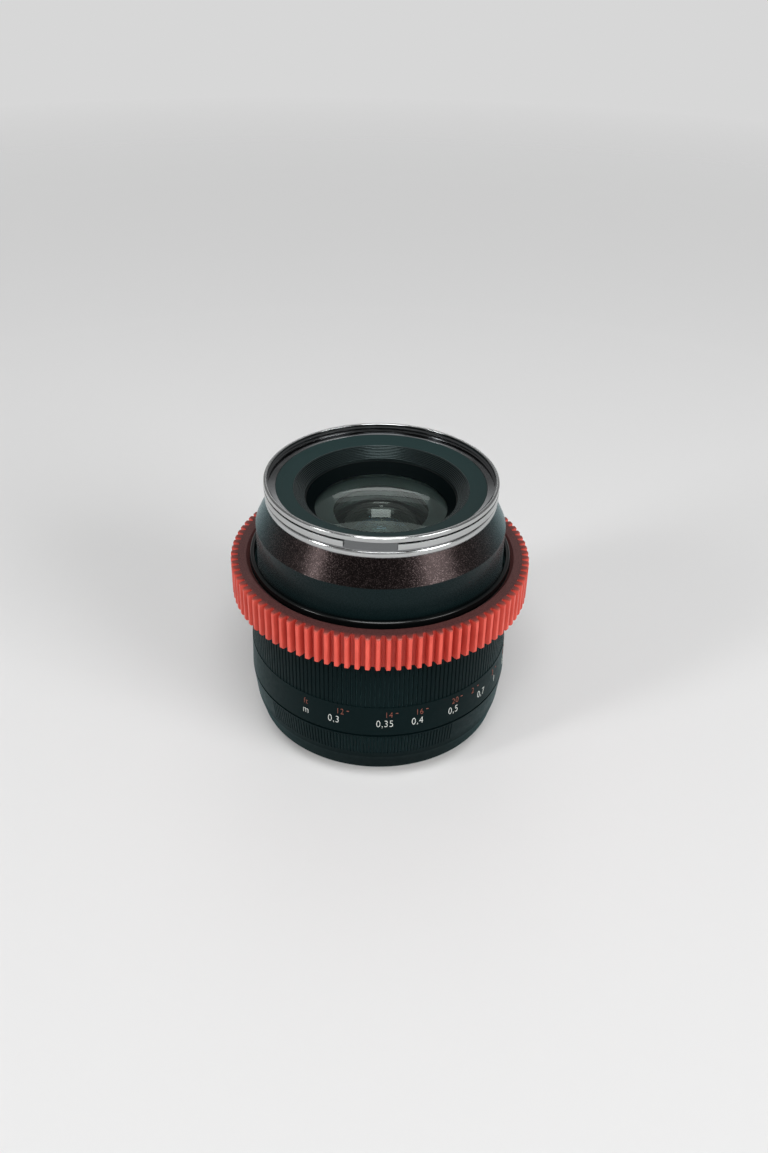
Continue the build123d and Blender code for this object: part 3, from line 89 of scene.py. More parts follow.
class Finish:
    # One material: its fixed values, and the wires that vary over the surface
    def __init__(self, title, fixed):
        self.material = bpy.data.materials.new(title)
        self.material.use_nodes = True
        self.tree = self.material.node_tree
        self.shader = self.tree.nodes["Principled BSDF"]
        for name, value in fixed.items():
            self.shader.inputs[name].default_value = value
        self.start = Wire(self.tree)
        self.spot = self.start.node("TexCoord", output="Object")

    def node(self, kind, settings=None, inputs=None, output=0):
        return self.start.node(kind, settings, inputs, output)

    def plug(self, name, wire):
        self.tree.links.new(wire.socket, self.shader.inputs[name])

    def mixWith(self, second, factor):  # another shader shows where the factor is 1
        both = self.node("MixShader", inputs={0: factor, 2: second})
        self.tree.links.new(self.shader.outputs[0], both.socket.node.inputs[1])
        self.tree.links.new(both.socket, self.tree.nodes["Material Output"].inputs["Surface"])

    def along(self, axis):  # X, Y or Z of the spot, in metres
        return self.node("SeparateXYZ", inputs={0: self.spot}, output=axis)

    def radius(self):  # distance from the optical axis
        x, y = self.along("X"), self.along("Y")
        return (x * x + y * y).maths("SQRT")

    def noise(self, scale, detail=2.0):
        return self.node("TexNoise", inputs={"Vector": self.spot, "Scale": scale, "Detail": detail})

    def rings(self, across, scale, detail=1.0):  # fine lines left by turning, along one wire
        return self.node("TexNoise", {"noise_dimensions": "1D"},
                         {"W": across, "Scale": scale, "Detail": detail})

    def blend(self, factor, first, second):  # each colour is three numbers or a wire
        first, second = [value if isinstance(value, Wire) else (*value, 1)
                         for value in (first, second)]
        return self.node("Mix", {"data_type": "RGBA"}, {0: factor, 6: first, 7: second}, output=2)

    def spread(self, wire, low, high, newLow=0.0, newHigh=1.0):  # maps a range on to another
        return self.node("MapRange", inputs={0: wire, 1: low, 2: high, 3: newLow, 4: newHigh})

    def relief(self, height, distance, strength):
        return self.node("Bump", inputs={"Height": height, "Distance": distance,
                                         "Strength": strength})


# Finishes of the metal and plastic pieces

anodising = {
    "dark": (0.0010, 0.0042, 0.0047),
    "light": (0.0022, 0.0068, 0.0074),
    # painted light that lifts the shaded grooves between the ribs
    "groove": (0.0095, 0.0155, 0.0165),
    "grooveDepth": 0.30 * mm,
    # painted shade that darkens the foot of the barrel towards the floor
    "footShade": (0.0007, 0.0012, 0.0012),
    "footFade": 4.0 * mm,
    "footRoughness": 0.3,
    "gloss": 0.05,
    "tint": (0.76, 1.0, 1.0),
    "velvet": (0.45, 0.95, 1.0),
    "velvetWeight": 0.10,
    "velvetRoughness": 0.35,
    "roughness": (0.40, 0.52),
    "cloudScale": 60.0,
    "patchScale": 900.0,
    "grainScale": 5200.0,
    "grainDepth": 0.000006,
    "grainStrength": 0.5,
}


def anodisedBlack(title, grooveRadius=None, footHeight=None):
    finish = Finish(title, {
        "Specular IOR Level": anodising["gloss"],
        "Specular Tint": (*anodising["tint"], 1),
        "Sheen Weight": anodising["velvetWeight"],
        "Sheen Roughness": anodising["velvetRoughness"],
        "Sheen Tint": (*anodising["velvet"], 1),
    })
    cloud = finish.noise(anodising["cloudScale"], 3.0)
    colour = finish.blend(cloud, anodising["dark"], anodising["light"])
    if grooveRadius:  # the grooves between the ribs are painted lighter, a painted light against their shade
        paintedGrooveLight = finish.spread(finish.radius(), grooveRadius + anodising["grooveDepth"], grooveRadius)
        colour = finish.blend(paintedGrooveLight, colour, anodising["groove"])
    patches = finish.noise(anodising["patchScale"])
    roughness = finish.spread(patches, *noiseSpan, *anodising["roughness"])
    if footHeight:  # the foot is darker, a painted shade towards the floor, and rougher
        footShade = finish.spread(finish.along("Z"), footHeight, footHeight - anodising["footFade"])
        colour = finish.blend(footShade, colour, anodising["footShade"])
        roughness = roughness + footShade * anodising["footRoughness"]
    finish.plug("Base Color", colour)
    finish.plug("Roughness", roughness)
    grain = finish.noise(anodising["grainScale"], 1.0)
    finish.plug("Normal", finish.relief(grain, anodising["grainDepth"], anodising["grainStrength"]))
    return finish.material


cone = {
    "edge": 62.72 * mm,
    "brown": (0.0145, 0.0108, 0.0106),
    "lightBrown": (0.0235, 0.0175, 0.0172),
    "flake": (0.11, 0.085, 0.083),
    "flakeScale": 6500.0,
    "flakeSpan": (0.80, 1.0),
    "flakeShare": 0.8,
    "flakeRelief": 0.6,
    "teal": (0.0030, 0.0078, 0.0084),
    "gloss": 0.12,
    "tint": (0.78, 0.97, 1.0),
    "velvet": (0.85, 0.97, 1.0),
    "velvetWeight": 0.08,
    "velvetRoughness": 0.35,
    "roughness": (0.20, 0.33),
    "cloudScale": 700.0,
    "grainScale": 5200.0,
    "grainDepth": 0.000008,
    "grainStrength": 0.6,
}


def coneAndCylinder():
    # Anodising that sparkles brown where light strikes the cone, and dark on the cylinder below
    finish = Finish("frontBarrelFinish", {
        "Specular IOR Level": cone["gloss"],
        "Specular Tint": (*cone["tint"], 1),
        "Sheen Weight": cone["velvetWeight"],
        "Sheen Roughness": cone["velvetRoughness"],
        "Sheen Tint": (*cone["velvet"], 1),
    })
    upper = finish.along("Z") > cone["edge"]
    flakes = finish.node("TexVoronoi", inputs={"Vector": finish.spot, "Scale": cone["flakeScale"]},
                         output=1)
    bright = finish.node("SeparateXYZ", inputs={0: flakes})
    sparkle = finish.spread(bright, *cone["flakeSpan"]) * upper
    cloud = finish.noise(cone["cloudScale"])
    brown = finish.blend(cloud, cone["brown"], cone["lightBrown"])
    brown = finish.blend(sparkle * cone["flakeShare"], brown, cone["flake"])
    finish.plug("Base Color", finish.blend(upper, cone["teal"], brown))
    finish.plug("Metallic", upper)
    finish.plug("Roughness", finish.spread(bright, 0.0, 1.0, *cone["roughness"]))
    height = finish.noise(cone["grainScale"], 1.0) + bright * cone["flakeRelief"]
    finish.plug("Normal", finish.relief(height, cone["grainDepth"], cone["grainStrength"]))
    return finish.material


chrome = {
    "colour": (0.50, 0.51, 0.51),
    # painted shade for the grooves and for the thread inside the ring
    "shade": (0.10, 0.105, 0.11),
    "paintedShadeShare": 0.85,
    "grooveR": (28.99 * mm, 29.4 * mm),
    "grooves": (71.2 * mm, 73.98 * mm),
    "insideR": 28.98 * mm,
    "roughness": (0.10, 0.20),
    "patchScale": 300.0,
    "lineScale": 26000.0,
    "lineDrift": 0.8,
    "lineDepth": 0.000002,
    "lineStrength": 0.25,
}


def polishedChrome():
    # Bright outside, with painted shade darkening the grooves and the thread inside
    finish = Finish("polishedChromeFinish", {"Metallic": 1.0})
    z, radius = finish.along("Z"), finish.radius()
    innerR, outerR = chrome["grooveR"]
    low, high = chrome["grooves"]
    groove = (radius < outerR) * (radius > innerR) * (z > low) * (z < high)
    # painted shade: the grooves and the inside thread take the darker colour
    shade = groove.maths("MAXIMUM", radius < chrome["insideR"])
    finish.plug("Base Color", finish.blend(shade * chrome["paintedShadeShare"], chrome["colour"],
                                           chrome["shade"]))
    lines = finish.rings(z + radius * chrome["lineDrift"], chrome["lineScale"])
    patches = finish.noise(chrome["patchScale"])
    finish.plug("Roughness", finish.spread(lines + patches, *pairSpan, *chrome["roughness"]))
    finish.plug("Normal", finish.relief(lines, chrome["lineDepth"], chrome["lineStrength"]))
    return finish.material


gear = {
    "red": (0.72, 0.118, 0.085),
    # deep red of the blotches, and of the painted shade at the roots of the teeth
    "deepRed": (0.46, 0.050, 0.036),
    "redSpan": (37.4 * mm, 39.0 * mm),
    "top": (0.108, 0.042, 0.040),
    "topDark": (0.048, 0.017, 0.016),
    "topRed": (0.25, 0.052, 0.042),
    "topRedSpan": (37.2 * mm, 39.0 * mm),
    "topSpan": (52.62 * mm, 53.12 * mm),
    "boreR": 35.3 * mm,
    "gloss": 0.18,
    "roughness": (0.34, 0.46),
    "cloudScale": 160.0,
    "lineScale": 9000.0,
    "speckScale": 2600.0,
    "patchScale": 2200.0,
    "layerScale": 11000.0,
    "lineDepth": 0.000006,
    "lineStrength": 0.35,
}


def gearRed():
    # Coral red teeth blotched with deeper red, with painted shade turning them deeper red towards
    # the roots, and a duller top with the marks of turning
    finish = Finish("gearRedFinish", {"Specular IOR Level": gear["gloss"]})
    z, radius = finish.along("Z"), finish.radius()
    red = finish.blend(finish.noise(gear["cloudScale"], 3.0), gear["deepRed"], gear["red"])
    # painted shade: the teeth turn deeper red towards their roots
    red = finish.blend(finish.spread(radius, *gear["redSpan"]), gear["deepRed"], red)
    top = finish.spread(z, *gear["topSpan"]).maths("MAXIMUM", radius < gear["boreR"])
    lines = finish.rings(radius, gear["lineScale"], 2.0)
    worn = finish.spread(lines + finish.noise(gear["speckScale"], 1.0), *pairSpan)
    topRed = finish.blend(worn, gear["topDark"], gear["top"])
    topRed = finish.blend(finish.spread(radius, *gear["topRedSpan"]), topRed, gear["topRed"])
    finish.plug("Base Color", finish.blend(top, red, topRed))
    patches = finish.noise(gear["patchScale"])
    finish.plug("Roughness", finish.spread(patches, *noiseSpan, *gear["roughness"]))
    height = lines * top + finish.rings(z, gear["layerScale"]) * (1 - top)
    finish.plug("Normal", finish.relief(height, gear["lineDepth"], gear["lineStrength"]))
    return finish.material


turning = {
    "lineDrift": 0.7, "paler": 1.7, "rougher": (-0.05, 0.06),
    "lineDepth": 0.000006, "lineStrength": 0.35,
}


def turnedBlack(title, colour, roughness, gloss=0.2, lineScale=12000.0, metallic=0.0):
    # A turned and blackened piece: fine lines round the optical axis
    finish = Finish(title, {"Metallic": metallic, "Specular IOR Level": gloss})
    across = finish.radius() + finish.along("Z") * turning["lineDrift"]
    lines = finish.rings(across, lineScale, 2.0)
    paler = tuple(min(1.0, value * turning["paler"]) for value in colour)
    finish.plug("Base Color", finish.blend(finish.spread(lines, *noiseSpan), colour, paler))
    low, high = turning["rougher"]
    finish.plug("Roughness", finish.spread(lines, *noiseSpan, roughness + low, roughness + high))
    finish.plug("Normal", finish.relief(lines, turning["lineDepth"], turning["lineStrength"]))
    return finish.material


ridges = {
    "topR": 22.45 * mm,
    "pitch": 2.95 / 9 * mm,
    "shift": 20.5,  # keeps the ridges' count above nought, and the walls at its whole numbers
    "wall": (0.0010, 0.002, 0.0023),
    # painted light on the flat ledges, lighter than the black walls
    "ledge": (0.0030, 0.0060, 0.0065),
    "ledgeSpan": (0.14, 0.26),
    "gloss": 0.50,
    "roughness": (0.5, 0.24),
    "grainScale": 3000.0,
    "grainDepth": 0.000004,
    "grainStrength": 0.3,
}


def ridgedBlack():
    # Walls of the ridges black, the flat ledges between them a little lighter as painted light
    finish = Finish("ridgedBaffleFinish", {"Specular IOR Level": ridges["gloss"],
                                           "Specular Tint": (*anodising["tint"], 1)})
    count = (finish.radius() - ridges["topR"]) * (1 / ridges["pitch"]) + ridges["shift"]
    fromWall = (count.maths("FRACT") - 0.5).maths("ABSOLUTE")
    ledge = finish.spread(fromWall, *ridges["ledgeSpan"])
    finish.plug("Base Color", finish.blend(ledge, ridges["wall"], ridges["ledge"]))
    finish.plug("Roughness", finish.spread(ledge, 0.0, 1.0, *ridges["roughness"]))
    grain = finish.noise(ridges["grainScale"])
    finish.plug("Normal", finish.relief(grain, ridges["grainDepth"], ridges["grainStrength"]))
    return finish.material


metal = {
    "darker": 0.8, "rougher": (-0.06, 0.08), "cloudScale": 400.0, "lineScale": 9000.0,
    "lineDepth": 0.000004, "lineStrength": 0.4,
}


def bareMetal(title, colour, roughness):
    finish = Finish(title, {"Metallic": 1.0})
    lines = finish.rings(finish.radius() + finish.along("Z"), metal["lineScale"], 2.0)
    darker = tuple(value * metal["darker"] for value in colour)
    finish.plug("Base Color", finish.blend(finish.noise(metal["cloudScale"]), darker, colour))
    low, high = metal["rougher"]
    finish.plug("Roughness", finish.spread(lines, *noiseSpan, roughness + low, roughness + high))
    finish.plug("Normal", finish.relief(lines, metal["lineDepth"], metal["lineStrength"]))
    return finish.material


plastic = {
    "gloss": 0.45, "paler": 1.25, "lift": 0.002, "rougher": 0.05, "speckScale": 2600.0,
    "speckDepth": 0.000008, "speckStrength": 0.4,
}


def mouldedPlastic(title, colour, roughness):
    finish = Finish(title, {"Specular IOR Level": plastic["gloss"]})
    speck = finish.noise(plastic["speckScale"])
    paler = tuple(min(1.0, value * plastic["paler"] + plastic["lift"]) for value in colour)
    finish.plug("Base Color", finish.blend(speck, colour, paler))
    rougher = plastic["rougher"]
    finish.plug("Roughness", finish.spread(speck, *noiseSpan, roughness - rougher,
                                           roughness + rougher))
    finish.plug("Normal", finish.relief(speck, plastic["speckDepth"], plastic["speckStrength"]))
    return finish.material


board = {
    "greens": ((0.010, 0.10, 0.035), (0.016, 0.13, 0.045)), "tracks": (0.25, 0.20, 0.08),
    "trackScale": 700.0, "trackWidth": 0.04, "roughness": 0.35,
    "grainScale": 1500.0, "grainDepth": 0.00001, "grainStrength": 0.3,
}


def boardGreen():
    finish = Finish("circuitBoardFinish", {"Roughness": board["roughness"]})
    first, second = board["greens"]
    tracks = finish.node("TexBrick", inputs={
        "Vector": finish.spot, "Scale": board["trackScale"], "Color1": (*first, 1),
        "Color2": (*second, 1), "Mortar": (*board["tracks"], 1), "Mortar Size": board["trackWidth"],
    })
    finish.plug("Base Color", tracks)
    grain = finish.noise(board["grainScale"])
    finish.plug("Normal", finish.relief(grain, board["grainDepth"], board["grainStrength"]))
    return finish.material


printing = {"gloss": 0.4, "darker": 0.86, "roughness": (0.45, 0.6), "speckScale": 3000.0}


def paint(title, colour):
    finish = Finish(title, {"Specular IOR Level": printing["gloss"]})
    speck = finish.noise(printing["speckScale"])
    darker = tuple(value * printing["darker"] for value in colour)
    finish.plug("Base Color", finish.blend(speck, darker, colour))
    finish.plug("Roughness", finish.spread(speck, *noiseSpan, *printing["roughness"]))
    return finish.material


finishes = {
    "barrel": anodisedBlack("barrelBlackFinish", footHeight=13.0 * mm),
    "ribbed": anodisedBlack("focusRingFinish", grooveRadius=34.25 * mm),
    "chrome": polishedChrome(),
    "front": coneAndCylinder(),
    "gear": gearRed(),
    "nameRing": turnedBlack("nameRingFinish", (0.010, 0.022, 0.022), 0.5, 0.10),
    "ridges": ridgedBlack(),
    "clampRing": turnedBlack("clampRingFinish", (0.0010, 0.0022, 0.0024), 0.6, 0.02),
    "rim": turnedBlack("focusRimFinish", (0.0006, 0.0012, 0.0013), 0.22, 0.4),
    "inner": turnedBlack("innerBlackFinish", (0.005, 0.006, 0.006), 0.5),
    "blade": turnedBlack("bladeBlackFinish", (0.010, 0.010, 0.011), 0.30, 0.5, 3000.0, 0.4),
    "mount": bareMetal("mountSteelFinish", (0.62, 0.62, 0.60), 0.24),
    "steel": bareMetal("screwSteelFinish", (0.50, 0.50, 0.50), 0.28),
    "aluminium": bareMetal("bareAluminiumFinish", (0.70, 0.71, 0.72), 0.34),
    "brass": bareMetal("bareBrassFinish", (0.62, 0.46, 0.20), 0.30),
    "gold": bareMetal("contactGoldFinish", (0.90, 0.66, 0.26), 0.18),
    "plastic": mouldedPlastic("blackPlasticFinish", (0.012, 0.012, 0.013), 0.45),
    "chip": mouldedPlastic("chipFinish", (0.015, 0.015, 0.016), 0.55),
    "board": boardGreen(),
    "dot": paint("indexDotPaint", (0.55, 0.03, 0.02)),
    "metres": paint("metrePaint", (0.60, 0.63, 0.60)),
    "feet": paint("feetPaint", (0.24, 0.072, 0.048)),
}

carriedPieces = {  # CAD nodes that keep their shape and get a better finish
    "clampRing": ["front_retainer"],
    "inner": ["front_cell", "lens_barrel", "lens_spacers", "rear_cell", "rear_retainer",
              "iris_housing", "iris_cover", "rear_baffle"],
    "blade": [f"iris_blade_{number + 1}" for number in range(9)],
    "brass": ["iris_cam_ring", "helicoid_nut", "motor_pinion"],
    "aluminium": ["guide_sleeve", "focus_stop", "focus_retainer", "motor_bracket"],
    "steel": ["mount_shim", "guide_keys", "mount_screws", "nut_screws", "barrel_screws",
              "motor_screws", "contact_screws", "stop_pin", "stepper_motor"],
    "gold": ["contact_pins"],
    "plastic": ["contact_block"],
    "chip": ["board_chips"],
    "board": ["circuit_board"],
    "dot": ["index_dot"],
}
for finish, names in carriedPieces.items():
    for name in names:
        for holder in cadNodes[name].material_slots:
            holder.material = finishes[finish]
print("finishes on the carried pieces")


# Modelling helpers

def clearSelection():
    if bpy.context.object and bpy.context.object.mode != "OBJECT":
        bpy.ops.object.mode_set(mode="OBJECT")
    bpy.ops.object.select_all(action="DESELECT")


def pickPiece(piece):
    clearSelection()
    piece.select_set(True)
    bpy.context.view_layer.objects.active = piece


def pickFaces(piece, wanted):
    # Selects the faces that pass a test, and goes into edit mode
    bpy.ops.object.mode_set(mode="EDIT")
    bpy.ops.mesh.select_mode(type="FACE")
    bpy.ops.mesh.select_all(action="DESELECT")
    bpy.ops.object.mode_set(mode="OBJECT")
    for face in piece.data.polygons:
        face.select = wanted(face)
    bpy.ops.object.mode_set(mode="EDIT")


def joinVertices():
    # Merges what lies together, in edit mode
    bpy.ops.mesh.select_all(action="SELECT")
    bpy.ops.mesh.remove_doubles(threshold=0.001 * mm)


def drawnLine(title, points):
    # A chain of edges through points of radius and height in millimetres, left in edit mode
    clearSelection()
    bpy.ops.mesh.primitive_plane_add(size=mm, location=(0, 0, 0))
    piece = bpy.context.object
    piece.name = title
    piece.data.name = title
    bpy.ops.object.mode_set(mode="EDIT")
    bpy.ops.mesh.select_mode(type="VERT")
    bpy.ops.mesh.select_all(action="SELECT")
    bpy.ops.mesh.merge(type="CENTER")
    radius, height = points[0]
    bpy.ops.transform.translate(value=(radius * mm, 0, height * mm))
    for (lastR, lastZ), (nextR, nextZ) in zip(points, points[1:]):
        bpy.ops.mesh.extrude_region_move(
            TRANSFORM_OT_translate={"value": ((nextR - lastR) * mm, 0, (nextZ - lastZ) * mm)})
    return piece


def turned(title, profile, steps, closed=True):
    # Spun from a profile of radius and height; an open one starts and ends on the axis
    piece = drawnLine(title, profile)
    if closed:
        bpy.ops.mesh.select_all(action="SELECT")
        bpy.ops.mesh.edge_face_add()
        bpy.ops.mesh.delete(type="ONLY_FACE")
    bpy.ops.mesh.select_all(action="SELECT")
    bpy.ops.mesh.spin(steps=steps, angle=2 * math.pi, center=(0, 0, 0), axis=(0, 0, 1))
    joinVertices()
    bpy.ops.mesh.normals_make_consistent(inside=False)
    bpy.ops.object.mode_set(mode="OBJECT")
    return piece


def roundEdges(piece, width, segments, angle):
    bevel = piece.modifiers.new("roundEdges", "BEVEL")
    bevel.width = width
    bevel.segments = segments
    bevel.limit_method = "ANGLE"
    bevel.angle_limit = math.radians(angle)
    bpy.context.view_layer.objects.active = piece
    bpy.ops.object.modifier_apply(modifier=bevel.name)


def smooth(piece, angle):
    pickPiece(piece)
    bpy.ops.object.shade_smooth_by_angle(angle=math.radians(angle))


def placed(piece):
    # Leaves the piece's place in its mesh
    pickPiece(piece)
    bpy.ops.object.transform_apply(location=True, rotation=True, scale=True)


# Round pieces that keep their mesh: it is joined up and shaded as round

roundPieces = {  # body, material slot and finish
    "rear_barrel": ("mount_body", "barrel_black", "barrel"),
    "focus_ring": ("focus_body", "barrel_black", "ribbed"),
    "gear_ring": ("focus_body", "gear_red", "gear"),
    "front_barrel": ("front_body", "front_black", "front"),
    "name_ring": ("front_body", "inner_black", "nameRing"),
    "mount_flange": ("mount_body", "polished_chrome", "mount"),
}
roundFacet = {  # a facet of a round face: its limits in radians, and its least slope off level
    "offAxis": 0.02, "width": 0.3, "slope": 0.05,
}


def roundNormals(mesh):
    # Normals of the face corners: square to the round face, or to the facet where it is flat
    normals = []
    for face in mesh.polygons:
        corners = [mesh.vertices[number].co for number in face.vertices]
        angles = [math.atan2(corner.y, corner.x) for corner in corners]
        first = angles[0]
        angles = [first + math.remainder(angle - first, 2 * math.pi) for angle in angles]
        width, middle = max(angles) - min(angles), (min(angles) + max(angles)) / 2
        x, y, z = face.normal
        outward, facing = math.hypot(x, y), math.atan2(y, x)
        offAxis = abs(math.remainder(facing - middle, math.pi))
        if (outward > roundFacet["slope"] and offAxis < roundFacet["offAxis"]
                and width < roundFacet["width"]):
            if math.cos(facing - middle) < 0:  # the wall of a bore
                outward = -outward
            normals += [(outward * math.cos(angle), outward * math.sin(angle), z)
                        for angle in angles]
        else:
            normals += [(x, y, z)] * len(angles)
    return normals


def smoothCopy(name, body, finish):
    piece = bpy.data.objects.new(name + "Smooth", cadNodes[name].data.copy())
    piece.data.name = piece.name
    bpy.context.scene.collection.objects.link(piece)
    pickPiece(piece)
    bpy.ops.object.mode_set(mode="EDIT")
    bpy.ops.mesh.select_mode(type="VERT")
    joinVertices()
    bpy.ops.object.mode_set(mode="OBJECT")
    bpy.ops.object.shade_smooth()
    piece.data.normals_split_custom_set(roundNormals(piece.data))
    piece.data.materials.clear()
    piece.data.materials.append(finishes[finish])
    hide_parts(name)
    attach(piece, body)


for name, (body, slot, finish) in roundPieces.items():
    smoothCopy(name, body, finish)
print("round pieces smoothed")


# Filter ring: polished, with hood lugs outside and a thread inside

filterRing = {
    "rim": 75.3, "lipBottom": 74.0, "lugTop": 73.5, "lugBottom": 71.9, "grooveBottom": 71.1,
    "coneTop": 69.3, "coneR": 29.2, "stripR": 29.6, "lipR": 29.8, "rootR": 29.05,
    "boreR": 28.95, "threadBottom": 73.1, "clampR": 26.85, "clampBottom": 72.45,
    "neckR": 27.85, "footOut": 0.28, "footUp": 0.25, "stripUp": 0.7, "stripDown": 0.5,
    "stripIn": 0.2, "lipRound": 0.25, "boreRound": 0.15, "lugs": 3, "gap": 25.0,
    "gapAzimuth": -94.0, "edge": 0.07, "edgeSteps": 2, "edgeAngle": 30, "steps": 360,
}


def makeFilterRing():
    size = filterRing
    piece = turned("filterRing", [
        (size["neckR"], size["coneTop"]), (size["coneR"], size["coneTop"]),
        (size["coneR"] + size["footOut"], size["coneTop"] + size["footUp"]),
        (size["stripR"], size["coneTop"] + size["stripUp"]),
        (size["stripR"], size["grooveBottom"] - size["stripDown"]),
        (size["stripR"] - size["stripIn"], size["grooveBottom"]),
        (size["rootR"], size["grooveBottom"]),
        (size["rootR"], size["lugBottom"]), (size["rootR"], size["lugTop"]),
        (size["rootR"], size["lipBottom"]), (size["lipR"], size["lipBottom"]),
        (size["lipR"], size["rim"] - size["lipRound"]),
        (size["lipR"] - size["lipRound"], size["rim"]),
        (size["boreR"] + size["boreRound"], size["rim"]),
        (size["boreR"], size["rim"] - size["boreRound"]),
        (size["boreR"], size["threadBottom"]), (size["clampR"], size["threadBottom"]),
        (size["clampR"], size["clampBottom"]), (size["neckR"], size["clampBottom"]),
    ], size["steps"])

    def onLug(face):
        x, y, z = face.center / mm
        turn = math.degrees(math.atan2(y, x)) - size["gapAzimuth"] + size["gap"] / 2
        outside = math.hypot(x, y) > (size["rootR"] + size["boreR"]) / 2
        return (size["lugBottom"] < z < size["lugTop"] and outside
                and turn % (360 / size["lugs"]) > size["gap"])

    pickFaces(piece, onLug)
    bpy.ops.mesh.extrude_region_move(TRANSFORM_OT_translate={"value": (0, 0, 0)})
    grow = size["lipR"] / size["rootR"]
    bpy.ops.transform.resize(value=(grow, grow, 1), center_override=(0, 0, 0))
    bpy.ops.object.mode_set(mode="OBJECT")
    roundEdges(piece, size["edge"] * mm, size["edgeSteps"], size["edgeAngle"])
    smooth(piece, 35)
    piece.data.materials.append(finishes["chrome"])
    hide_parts("filter_ring")
    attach(piece, "front_body")


thread = {
    "pitch": 0.75, "crestR": 28.6, "rootR": 28.97, "start": 73.35, "turns": 2, "steps": 180,
    "half": 0.42, "crestShare": 0.15,
}


def makeFilterThread():
    # One tooth of the thread, swept up along its helix
    size = thread
    half = size["pitch"] * size["half"]
    crest = half * size["crestShare"]
    piece = drawnLine("filterThread", [
        (size["rootR"], size["start"] - half), (size["crestR"], size["start"] - crest),
        (size["crestR"], size["start"] + crest), (size["rootR"], size["start"] + half),
    ])
    bpy.ops.object.mode_set(mode="OBJECT")
    screw = piece.modifiers.new("helix", "SCREW")
    screw.angle = 2 * math.pi
    screw.screw_offset = size["pitch"] * mm
    screw.iterations = size["turns"]
    screw.steps = screw.render_steps = size["steps"]
    screw.use_merge_vertices = True
    bpy.ops.object.modifier_apply(modifier=screw.name)
    bpy.ops.object.mode_set(mode="EDIT")
    bpy.ops.mesh.select_all(action="SELECT")
    bpy.ops.mesh.normals_make_consistent(inside=True)
    bpy.ops.object.mode_set(mode="OBJECT")
    smooth(piece, 35)
    piece.data.materials.append(finishes["chrome"])
    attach(piece, "front_body")


makeFilterRing()
makeFilterThread()
print("filter ring made")


# Glass elements, each spun from its own curves

glass = {  # radius, then height, curve and reach of the front and of the rear face, tint, film
    "element_1": (19.2, 67.79, 90.0, 17.4, 65.6, -24.0, 11.9, (0.93, 0.99, 0.95), 0.0),
    "element_2": (16.8, 60.3, 34.0, 16.2, 58.5, -15.5, 11.6, (0.96, 0.97, 0.99), 100.0),
    "element_3": (13.2, 54.9, 34.0, 12.6, 49.7, 60.0, 12.6, (0.95, 0.99, 0.96), 196.0),
    "element_4": (11.2, 48.1, 60.0, 10.6, 43.1, 26.0, 11.2, (0.97, 0.98, 0.97), 100.0),
    "element_5": (11.2, 43.1, -26.0, 11.2, 41.7, -60.0, 10.6, (0.97, 0.98, 0.97), 100.0),
    "element_6": (10.2, 31.556, -24.0, 9.6, 30.356, -26.0, 10.2, (0.97, 0.98, 0.97), 100.0),
    "element_7": (10.2, 30.356, 26.0, 10.2, 24.756, 28.0, 9.6, (0.97, 0.98, 0.97), 100.0),
    "element_8": (11.8, 23.756, -60.0, 11.2, 20.156, 26.0, 11.2, (0.96, 0.97, 0.99), 100.0),
    "element_9": (11.8, 19.356, 90.0, 11.2, 15.756, 48.0, 11.2, (0.94, 0.99, 0.96), 196.0),
}
glassLook = {
    "index": 1.52, "filmIndex": 1.38, "coating": (0.76, 1.0, 0.91),
    "paint": (0.004, 0.004, 0.005), "paintRoughness": 0.6, "paintGap": 0.01 * mm,
}
groundRing = {  # behind the front glass, seen through it
    "colour": (0.040, 0.064, 0.060), "edge": (0.16, 0.21, 0.20), "edgeR": 18.9 * mm,
    "rimZ": 65.5, "paintGap": 0.02, "footR": 17.2, "footZ": 59.91,
}
faceSteps, glassSteps = 28, 144


def coatedGlass(title, reach, tint, film, groundTop=None):
    # Clear inside the polished face, painted on the seat and the rim
    finish = Finish(title, {
        "Base Color": (*tint, 1), "Transmission Weight": 1.0, "IOR": glassLook["index"],
        "Roughness": 0.0, "Specular Tint": (*glassLook["coating"], 1),
        "Thin Film Thickness": film, "Thin Film IOR": glassLook["filmIndex"],
    })
    radius = finish.radius()
    painted = radius > reach + glassLook["paintGap"]
    colour = (*glassLook["paint"], 1)
    if groundTop:
        painted = painted * (finish.along("Z") < groundTop)
        colour = finish.blend(radius > groundRing["edgeR"], groundRing["colour"],
                              groundRing["edge"])
    rimPaint = finish.node("BsdfPrincipled", inputs={"Base Color": colour,
                                                     "Roughness": glassLook["paintRoughness"]})
    finish.mixWith(rimPaint, painted)
    return finish.material


def sag(curve, reach):
    # Height of a round face between its middle and a reach
    return math.copysign(abs(curve) - math.sqrt(curve ** 2 - reach ** 2), curve)


